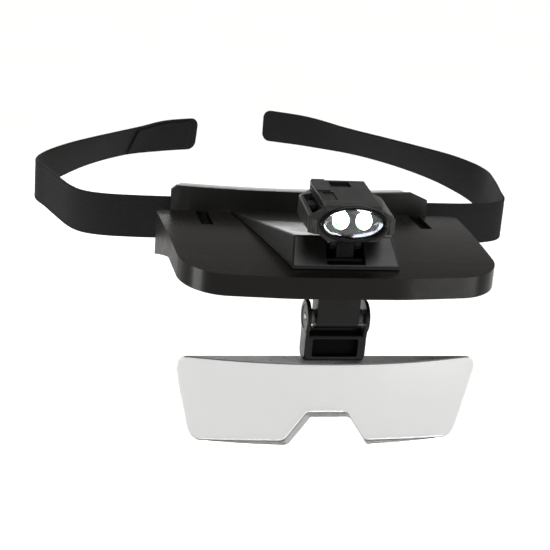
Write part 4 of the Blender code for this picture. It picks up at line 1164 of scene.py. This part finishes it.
def make_washer(side, sign, look):
    """Turned nylon washer with broken edges."""
    thickness = CHEEK_INNER - BLOCK_HALF - 2 * GAP
    edge = 0.25 * mm
    outer = 3.4 * mm
    profile = [(PIN_BORE, 0), (outer - edge, 0), (outer, edge), (outer, thickness - edge),
               (outer - edge, thickness), (PIN_BORE, thickness)]
    start = HINGE + Vector((sign * (BLOCK_HALF + GAP), 0, 0))
    washer = turned("washer_" + side, profile, start, (sign, 0, 0), look, closed=True)
    settle(washer, "headgear", "washer_nylon", "hinge_washer_" + side)


# ---- lens ----------------------------------------------------------------------------------------

def divided(outline, spacing):
    """The same outline with points added along its long straight edges."""
    points = []
    for a, b in zip(outline, outline[1:] + outline[:1]):
        count = max(1, math.ceil((b - a).length / spacing))
        points += [a.lerp(b, k / count) for k in range(count)]
    return points


def cap(bm, ring, outline, spacing, y_of):
    """Fill a ring with an even mesh that follows the depth function y_of(x, z)."""
    xs = [p.x for p in outline]
    zs = [p.y for p in outline]
    grid = []
    columns = int((max(xs) - min(xs)) / spacing)
    rows = int((max(zs) - min(zs)) / spacing)
    for i in range(1, columns):
        for j in range(1, rows):
            point = Vector((min(xs) + i * spacing, min(zs) + j * spacing))
            nearest = min((point - p).length for p in outline)
            if nearest > spacing * 0.6:
                grid.append(point)
    points = list(outline) + grid
    made = geometry.delaunay_2d_cdt(points, [], [list(range(len(outline)))], 1, 1e-9)
    verts = {}
    for index, origins in enumerate(made[3]):
        rim = [o for o in origins if o < len(outline)]
        if rim:
            verts[index] = ring[rim[0]]
    for face in made[2]:
        corners = []
        for index in face:
            if index not in verts:
                x, z = made[0][index]
                verts[index] = bm.verts.new((x, y_of(x, z), z))
            corners.append(verts[index])
        bm.faces.new(corners)


def make_lens(look, edge_look, top_look):
    """Convex lens plate with polished faces, frosted sides, a sawn top painted near-black as shade, and
    the holder's tongue.
    """
    edge = 0.45 * mm
    shoulder = 3.2 * mm
    right = [
        (LENS_HALF_TOP, LENS_TOP_Z, 5 * mm), (LENS_HALF_BOTTOM, LENS_BOTTOM_Z, 7 * mm),
        (18.4 * mm, LENS_BOTTOM_Z, 4 * mm), (8.9 * mm, LENS_NOTCH_TOP_Z, 2.5 * mm),
    ]
    left = [(-x, z, radius) for x, z, radius in reversed(right)]
    outline = divided(filleted(right + left, math.radians(6)), 3 * mm)
    inner = offset_outline(outline, edge)
    middle_z = (LENS_TOP_Z + LENS_BOTTOM_Z) / 2

    def front_y(x, z):
        sag = LENS_RADIUS - math.sqrt(LENS_RADIUS ** 2 - x * x - (0.5 * (z - middle_z)) ** 2)
        return min(LENS_FRONT_Y + sag, LENS_BACK_Y - 3 * edge)

    bm = bmesh.new()
    rings = [
        [bm.verts.new((p.x, front_y(p.x, p.y), p.y)) for p in inner],
        [bm.verts.new((p.x, front_y(p.x, p.y) + edge, p.y)) for p in outline],
        [bm.verts.new((p.x, LENS_BACK_Y - edge, p.y)) for p in outline],
        [bm.verts.new((p.x, LENS_BACK_Y, p.y)) for p in inner],
    ]
    for a, b in zip(rings, rings[1:]):
        bridge(bm, a, b)
    side_faces = len(bm.faces)
    cap(bm, rings[0], inner, 3.6 * mm, front_y)
    cap(bm, rings[-1], inner, 3.6 * mm, lambda x, z: LENS_BACK_Y)
    bm.faces.ensure_lookup_table()
    for face in bm.faces[:side_faces]:
        # The top faces take the sawn finish, whose near-black colour is painted shade.
        face.material_index = 2 if face.calc_center_median().z > LENS_TOP_Z - edge else 1
    lens = add_object("lens", bm, look)
    lens.data.materials.append(edge_look)
    lens.data.materials.append(top_look)
    tongue = block("tongue", TONGUE_LOW - Vector((0, 0, shoulder)), TONGUE_HIGH)
    join(lens, lined(bevel(tongue, 0.4 * mm), look))
    settle(lens, "lens", "lens_acrylic", "lens_plate")


# ---- lamp ----------------------------------------------------------------------------------------

def knuckle(name, low_x, high_x, root_z):
    """Round lug about the tilt axis, on a web that reaches up or down to root_z."""
    reach = math.copysign(KNUCKLE_RADIUS, TILT.z - root_z)
    end = KNUCKLE_RADIUS * 0.99
    outline = filleted([
        (TILT.y - KNUCKLE_RADIUS, root_z, 0), (TILT.y - KNUCKLE_RADIUS, TILT.z + reach, end),
        (TILT.y + KNUCKLE_RADIUS, TILT.z + reach, end), (TILT.y + KNUCKLE_RADIUS, root_z, 0),
    ])
    return prism(name, outline, "X", low_x, high_x)


def make_foot(look):
    low, high = BOX["lamp_foot"]
    foot = block("foot", (low.x, low.y + 1.6 * mm, low.z), (high.x, high.y, low.z + 1.6 * mm), look)
    join(foot, knuckle("foot_knuckle", -KNUCKLE_HALF, KNUCKLE_HALF, low.z + mm))
    bevel(foot, 0.3 * mm)
    drill_across(foot, TILT, TILT_BORE)
    settle(foot, "headgear", "hinge_plastic", "lamp_foot")


def make_tilt_pin(look):
    pin = rounded_pin("tilting_pin", TILT, LUG_OUTER + 0.6 * mm, TILT_PIN_RADIUS, look)
    settle(pin, "headgear", "fastener_steel", "tilt_pin")


def make_lamp_base(look):
    rear_y, front_y = y_at(LAMP_BASE_REAR_DEPTH), y_at(LAMP_RECESS_DEPTH - 0.5 * mm)
    outline = filleted([
        (-LAMP_BASE_HALF, rear_y, 3 * mm), (-LAMP_BASE_HALF, front_y, 2 * mm),
        (LAMP_BASE_HALF, front_y, 2 * mm), (LAMP_BASE_HALF, rear_y, 3 * mm),
    ])
    base = prism("lamp_floor", outline, "Z", LAMP_BASE_Z, LAMP_FLOOR_Z - GAP, look)
    for side in (-1, 1):
        near, far = sorted((side * (KNUCKLE_HALF + GAP), side * LUG_OUTER))
        join(base, knuckle("lug", near, far, LAMP_BASE_Z + mm))
    bevel(base, 0.3 * mm)
    drill_lamp_screws(base, 0.0, 20 * mm)
    drill_across(base, TILT, TILT_BORE)
    settle(base, "lamp", "lamp_plastic", "lamp_base")


def make_ribs():
    """Upright grip ribs on the two sloping corners beside the oval front."""
    count = 5
    bm = bmesh.new()
    rear, front = at(18.9 * mm, 79.5 * mm, 0.0), at(15.7 * mm, 83.1 * mm, 0.0)
    for side in (-1, 1):
        for k in range(count):
            middle = rear.lerp(front, (k + 0.5) / count)
            middle.x *= side
            middle.z = 15.6 * mm
            made = bmesh.ops.create_cone(bm, cap_ends=True, segments=12, radius1=0.4 * mm,
                                         radius2=0.4 * mm, depth=6.4 * mm)
            bmesh.ops.translate(bm, verts=made["verts"], vec=middle)
    return add_object("grip_ribs", bm)


def make_lamp_housing(look):
    seam = COVER_THICKNESS + GAP
    shoulders = [
        at(LAMP_TOP_HALF, 50 * mm, 24.3 * mm), at(18.6 * mm, 56.5 * mm, 22.8 * mm),
        at(LAMP_HALF, 58 * mm, 15.2 * mm), at(14 * mm, 52 * mm, LAMP_FLOOR_Z),
        at(18.7 * mm, 79 * mm, 19.5 * mm), at(18.3 * mm, 80 * mm, LAMP_FLOOR_Z),
        at(14.5 * mm, LAMP_FRONT_DEPTH, LAMP_FLOOR_Z), at(13.0 * mm, LAMP_FRONT_DEPTH, 22.5 * mm),
        at(16.5 * mm, LAMP_FRONT_DEPTH, 18.0 * mm),
    ]
    housing = bevel(hull("lamp_body", both_sides(shoulders), look), 0.7 * mm, 3, 10)
    spine = [
        at(LAMP_TOP_HALF, LAMP_REAR_DEPTH, lamp_top(LAMP_REAR_DEPTH)),
        at(LAMP_TOP_HALF, LAMP_REAR_DEPTH, 15 * mm), at(LAMP_TOP_HALF, 53 * mm, LAMP_FLOOR_Z),
        at(LAMP_TOP_HALF, 80.5 * mm, lamp_top(80.5 * mm)),
        at(LAMP_TOP_HALF, LAMP_FRONT_DEPTH, 22.8 * mm), at(LAMP_TOP_HALF, LAMP_FRONT_DEPTH, LAMP_FLOOR_Z),
    ]
    chin = [
        at(14.5 * mm, LAMP_RECESS_DEPTH, LAMP_FLOOR_Z + mm), at(11 * mm, LAMP_RECESS_DEPTH, 9.3 * mm),
        at(11 * mm, LAMP_FRONT_DEPTH, 9.3 * mm), at(15.5 * mm, LAMP_FRONT_DEPTH, LAMP_FLOOR_Z + mm),
    ]
    join(housing, bevel(hull("lamp_spine", both_sides(spine)), 0.4 * mm, 3, 10),
         bevel(hull("lamp_chin", both_sides(chin)), 0.5 * mm, 3, 10), make_ribs())
    lid = [
        at(25 * mm, LAMP_REAR_DEPTH - 5 * mm, lamp_top(LAMP_REAR_DEPTH - 5 * mm) - seam),
        at(25 * mm, LAMP_REAR_DEPTH - 5 * mm, ABOVE),
        at(25 * mm, COVER_FRONT_DEPTH + GAP, lamp_top(COVER_FRONT_DEPTH) - seam),
        at(25 * mm, COVER_FRONT_DEPTH + GAP, ABOVE),
    ]
    cut(housing, hull("cover_seat", both_sides(lid)))
    well = at(0, CELL_DEPTH, BOX["cell_lower"][0].z - mm)
    drill(housing, well, at(0, CELL_DEPTH, ABOVE), CELL_RADIUS + 0.4 * mm)
    cut(housing, prism("front_recess", lamp_oval(0.0), "Y", y_at(AHEAD), y_at(LAMP_RECESS_DEPTH)))
    groove_low = at(-17.2 * mm, 79.2 * mm, 18.2 * mm)
    cut(housing, block("switch_groove", groove_low, at(-13.0 * mm, 57.2 * mm, 30 * mm)))
    drill_lamp_screws(housing, 10 * mm, 15.4 * mm)
    settle(housing, "lamp", "lamp_plastic", "lamp_housing")


def make_cover(look):
    """Sliding battery cover with a finger slot, a raised pad and a sunk panel on its left."""
    rear, front = LAMP_REAR_DEPTH, COVER_FRONT_DEPTH
    corners = [at(LAMP_TOP_HALF, depth, lamp_top(depth) - drop)
               for depth in (rear, front) for drop in (0.0, COVER_THICKNESS)]
    cover = bevel(hull("cover", both_sides(corners), look), 0.35 * mm)
    grip_low = at(-4.6 * mm, 57.5 * mm, lamp_top(54 * mm) - 1.1 * mm)
    cut(cover, block("finger_slot", grip_low, at(4.6 * mm, 51 * mm, ABOVE)))
    raised = [at(x, depth, lamp_top(depth) + rise) for x in (-11.9 * mm, -6.2 * mm)
              for depth in (rear + 0.4 * mm, 63 * mm) for rise in (-0.5 * mm, 0.5 * mm)]
    join(cover, hull("raised_pad", raised))
    sunk = [at(x, depth, lamp_top(depth) + rise) for x in (-10.2 * mm, -5.2 * mm)
            for depth in (64.2 * mm, 73.4 * mm) for rise in (-0.45 * mm, 2 * mm)]
    cut(cover, hull("sunk_panel", sunk))
    settle(cover, "cover", "lamp_plastic", "battery_cover")


def oval_loft(name, profile, look, closed):
    """Loft ovals of (inset, depth) front to back; the last one is a pole unless closed."""
    bm = bmesh.new()
    rings = []
    for inset, depth in profile:
        if OVAL_HALF_HEIGHT - inset <= 0:
            rings.append([bm.verts.new(at(0, depth, OVAL_Z))])
            continue
        rings.append([bm.verts.new((p.x, y_at(depth), p.y)) for p in lamp_oval(inset)])
    for a, b in zip(rings, rings[1:] + (rings[:1] if closed else [])):
        bridge(bm, a, b)
    return add_object(name, bm, look)


def make_bezel(look):
    """Glossy oval ring with a rounded lip and a flared inner wall."""
    back = LAMP_FRONT_DEPTH + GAP
    front = 85.2 * mm
    profile = [(-1.3 * mm, back), (-1.3 * mm, front - 0.9 * mm), (-1.1 * mm, front - 0.4 * mm),
               (-0.7 * mm, front - 0.1 * mm), (-0.3 * mm, front), (0.1 * mm, front - 0.1 * mm),
               (0.4 * mm, front - 0.45 * mm), (mm, back)]
    settle(oval_loft("bezel", profile, look, True), "lamp", "bezel_gloss", "lamp_bezel")


def make_window(look):
    """Clear oval window with a domed front."""
    back, front = 81.5 * mm, 82.5 * mm
    count = 12
    dome = []
    for k in range(count + 1):
        share = k / count
        dome.append((GAP + (OVAL_HALF_HEIGHT - GAP) * share, front + 1.1 * mm * (1 - (1 - share) ** 2)))
    profile = [(OVAL_HALF_HEIGHT, back), (GAP, back)] + dome
    settle(oval_loft("window", profile, look, False), "lamp", "window_clear", "lamp_window")


def make_reflector(look, cup_look):
    """Reflector tray: a dished oval rim around two polished cups; the rim's chrome is darkened as painted
    shade inside the lamp.
    """
    back, front = 77.0 * mm, 81.2 * mm
    floor = 79.6 * mm
    profile = [(OVAL_HALF_HEIGHT, back), (GAP, back), (GAP, front), (0.6 * mm, front),
               (1.3 * mm, floor + 0.6 * mm), (1.8 * mm, floor), (OVAL_HALF_HEIGHT, floor)]
    tray = oval_loft("reflector_tray", profile, look, False)
    narrow, wide = 2.75 * mm, 3.6 * mm
    depth = floor + 0.1 * mm - back
    shares = [k / 10 for k in range(11)]
    curve = [(narrow + (wide - narrow) * t ** 0.6, back + depth * t) for t in shares]
    near, far = back - mm, front + 1.8 * mm
    bowl = [(0, near), (narrow, near)] + curve + [(wide, far), (0, far)]
    for side in (-1, 1):
        place = at(side * LED_X, 0.0, LED_Z - 0.6 * mm)
        cut(tray, lined(turned("cup_cut", bowl, place, (0, -1, 0)), cup_look))
    settle(tray, "lamp", "reflector_chrome", "reflector")


def make_led(side, x, look):
    """Five-millimetre diode with a flange and a round lens."""
    tip = 2.1 * mm
    dome = [(LED_RADIUS * math.cos(t), tip + LED_RADIUS * math.sin(t)) for t in quarter_turn(10)]
    dome[-1] = (0, tip + LED_RADIUS)
    profile = [(0, 0), (LED_RADIUS, 0)] + dome
    diode = turned("diode_" + side, profile, at(x, 76.6 * mm, LED_Z), (0, -1, 0), look)
    settle(diode, "lamp", "led_glow", "led_" + side)


def make_cell(level, look):
    """Button cell: can with a rolled edge, a seal groove and a raised cap."""
    node = "cell_" + level
    low = BOX[node][0].z
    r, t = CELL_RADIUS, CELL_THICKNESS
    profile = [(0, 0), (r - 1.5 * mm, 0), (r - 0.4 * mm, 0.25 * mm), (r, 0.6 * mm), (r, t - 0.5 * mm),
               (r - 0.3 * mm, t - 0.12 * mm), (r - 0.9 * mm, t - 0.1 * mm), (r - mm, t - 0.45 * mm),
               (r - 1.4 * mm, t - 0.45 * mm), (r - 1.7 * mm, t - 0.15 * mm), (r - 2.2 * mm, t), (0, t)]
    place = at(0, CELL_DEPTH, low)
    cell = turned("button_" + node, profile, place, (0, 0, 1), look, segments=80)
    settle(cell, "lamp", "cell_steel", node)


def make_switch(look):
    """Slide switch knob with three grip ridges."""
    low, high = BOX["switch_slider"]
    knob = block("switch_knob", low, high - Vector((0, 0, 0.6 * mm)), look)
    for k in range(3):
        middle = low.y + (high.y - low.y) * (k + 1) / 4
        ridge_low = Vector((low.x + 0.3 * mm, middle - 0.4 * mm, high.z - mm))
        join(knob, block("ridge", ridge_low, (high.x - 0.3 * mm, middle + 0.4 * mm, high.z)))
    bevel(knob, 0.18 * mm, 2)
    settle(knob, "switch", "switch_plastic", "switch_slider")


# ---- assembly ------------------------------------------------------------------------------------

def paint(node, look):
    """Give a CAD node that stays in view its own finish."""
    for slot in frame["nodes"][node].material_slots:
        slot.material = look


def make_headgear():
    plate = glossy("black_gloss", (0.0048, 0.0042, 0.0037), 0.24)
    make_visor(plate, moulded("side_satin", (0.008, 0.0075, 0.007), 0.42, 0.08))
    make_cradle(moulded("cradle_satin", (0.004, 0.0038, 0.0036), 0.38, 0.26))
    # The rail colour is painted shade for the slots, darker than the band's own black.
    make_band(moulded("band_black", (0.009, 0.009, 0.0082), 0.42, 0.1),
              moulded("rail_painted_shade", (0.001, 0.001, 0.001), 0.6, 0.03))
    make_pad(knit("pad_knit", (0.42, 0.42, 0.41)))
    webbing = woven("webbing_black", (0.0068, 0.0068, 0.0068), 1.05, 1.5, 0.2 * mm)
    thread = woven("thread_black", (0.022, 0.022, 0.022), 0.3, 0.4, 0.03 * mm)
    steel = metal("fastener_steel", (0.34, 0.34, 0.35), 0.32)
    for (side, sign), route in zip(SIDES, (LEFT_ROUTE, RIGHT_ROUTE)):
        make_strap(side, route, webbing)
        make_rivet(side, sign * RIVET_X, steel)
        make_washer(side, sign, moulded("washer_" + side + "_grey", (0.09, 0.09, 0.088), 0.45))
        make_screw("flange_screw_" + side, "headgear", "block_screw_" + side, steel)
    offset = (STRAP_THICKNESS + PATCH_THICKNESS) / 2 + GAP
    hook = tape("hook_tape", (0.007, 0.007, 0.007), 0.9, 0.25 * mm)
    loop = tape("loop_tape", (0.012, 0.012, 0.012), 0.45, 0.12 * mm)
    make_patch("hook_tape", LEFT_ROUTE, -offset, hook, thread, "hook_patch")
    make_patch("loop_tape", RIGHT_ROUTE, offset, loop, thread, "loop_patch")
    hinge = moulded("hinge_black", (0.003, 0.003, 0.0028), 0.32, 0.15)
    make_hinge_block(hinge)
    # The foot is darker than the other hinge plastic, as painted shade in the cradle's notch.
    make_foot(moulded("foot_black", (0.0015, 0.0015, 0.0015), 0.5, 0.06))
    make_tilt_pin(steel)
    # Painted shade: the holder's hollows are near-black.
    make_lens_holder(hinge, moulded("hollow_painted_shade", (0.001, 0.001, 0.001), 0.6, 0.03))
    make_hinge_pin(steel)
    # The polished acrylic is tinted grey as painted shade, for the greyer look of the clear lens.
    make_lens(clear("acrylic_polished", (0.545, 0.545, 0.545), 0.015),
              clear("acrylic_edge", (0.96, 0.96, 0.96), 0.22, 0.08),
              # The sawn top's near-black colour is painted shade; its roughness is the real sawn finish.
              clear("acrylic_sawn_painted_shade", (0.014, 0.0145, 0.0145), 0.35, 0.1))


def make_lamp():
    steel = metal("lamp_screw_steel", (0.34, 0.34, 0.35), 0.32)
    make_lamp_base(moulded("lamp_floor_black", (0.004, 0.004, 0.004), 0.4, 0.08))
    make_lamp_housing(moulded("lamp_black", (0.017, 0.0165, 0.016), 0.36, 0.1))
    make_cover(moulded("cover_black", (0.009, 0.0088, 0.0088), 0.34, 0.2))
    make_bezel(glossy("bezel_black", (0.0015, 0.0015, 0.0016), 0.10))
    make_window(clear("window_clear", (0.97, 0.98, 0.98), 0.01))
    # The tray's chrome is darkened as painted shade inside the lamp; the cups stay bright chrome.
    make_reflector(metal("chrome_painted_shade", (0.035, 0.036, 0.040), 0.14),
                   metal("cup_chrome", (0.86, 0.88, 0.90), 0.08))
    led = glow("led_white")
    for side, sign in SIDES:
        make_led(side, sign * LED_X, led)
        make_screw("base_screw_" + side, "lamp", "lamp_screw_" + side, steel)
    cell = metal("cell_steel", (0.58, 0.58, 0.59), 0.26)
    brass = metal("contact_brass", (0.58, 0.40, 0.15), 0.28, (1.0, 8.0, 1.0))
    for level in ("lower", "upper"):
        make_cell(level, cell)
        paint("contact_" + level, brass)
    make_switch(moulded("switch_black", (0.006, 0.006, 0.006), 0.5))
    paint("circuit_board", circuit("board_green"))


bpy.context.scene.view_settings.view_transform = "Standard"
make_camera()
make_world()
make_lights()
make_floor()
make_headgear()
make_lamp()
remove_cutters()
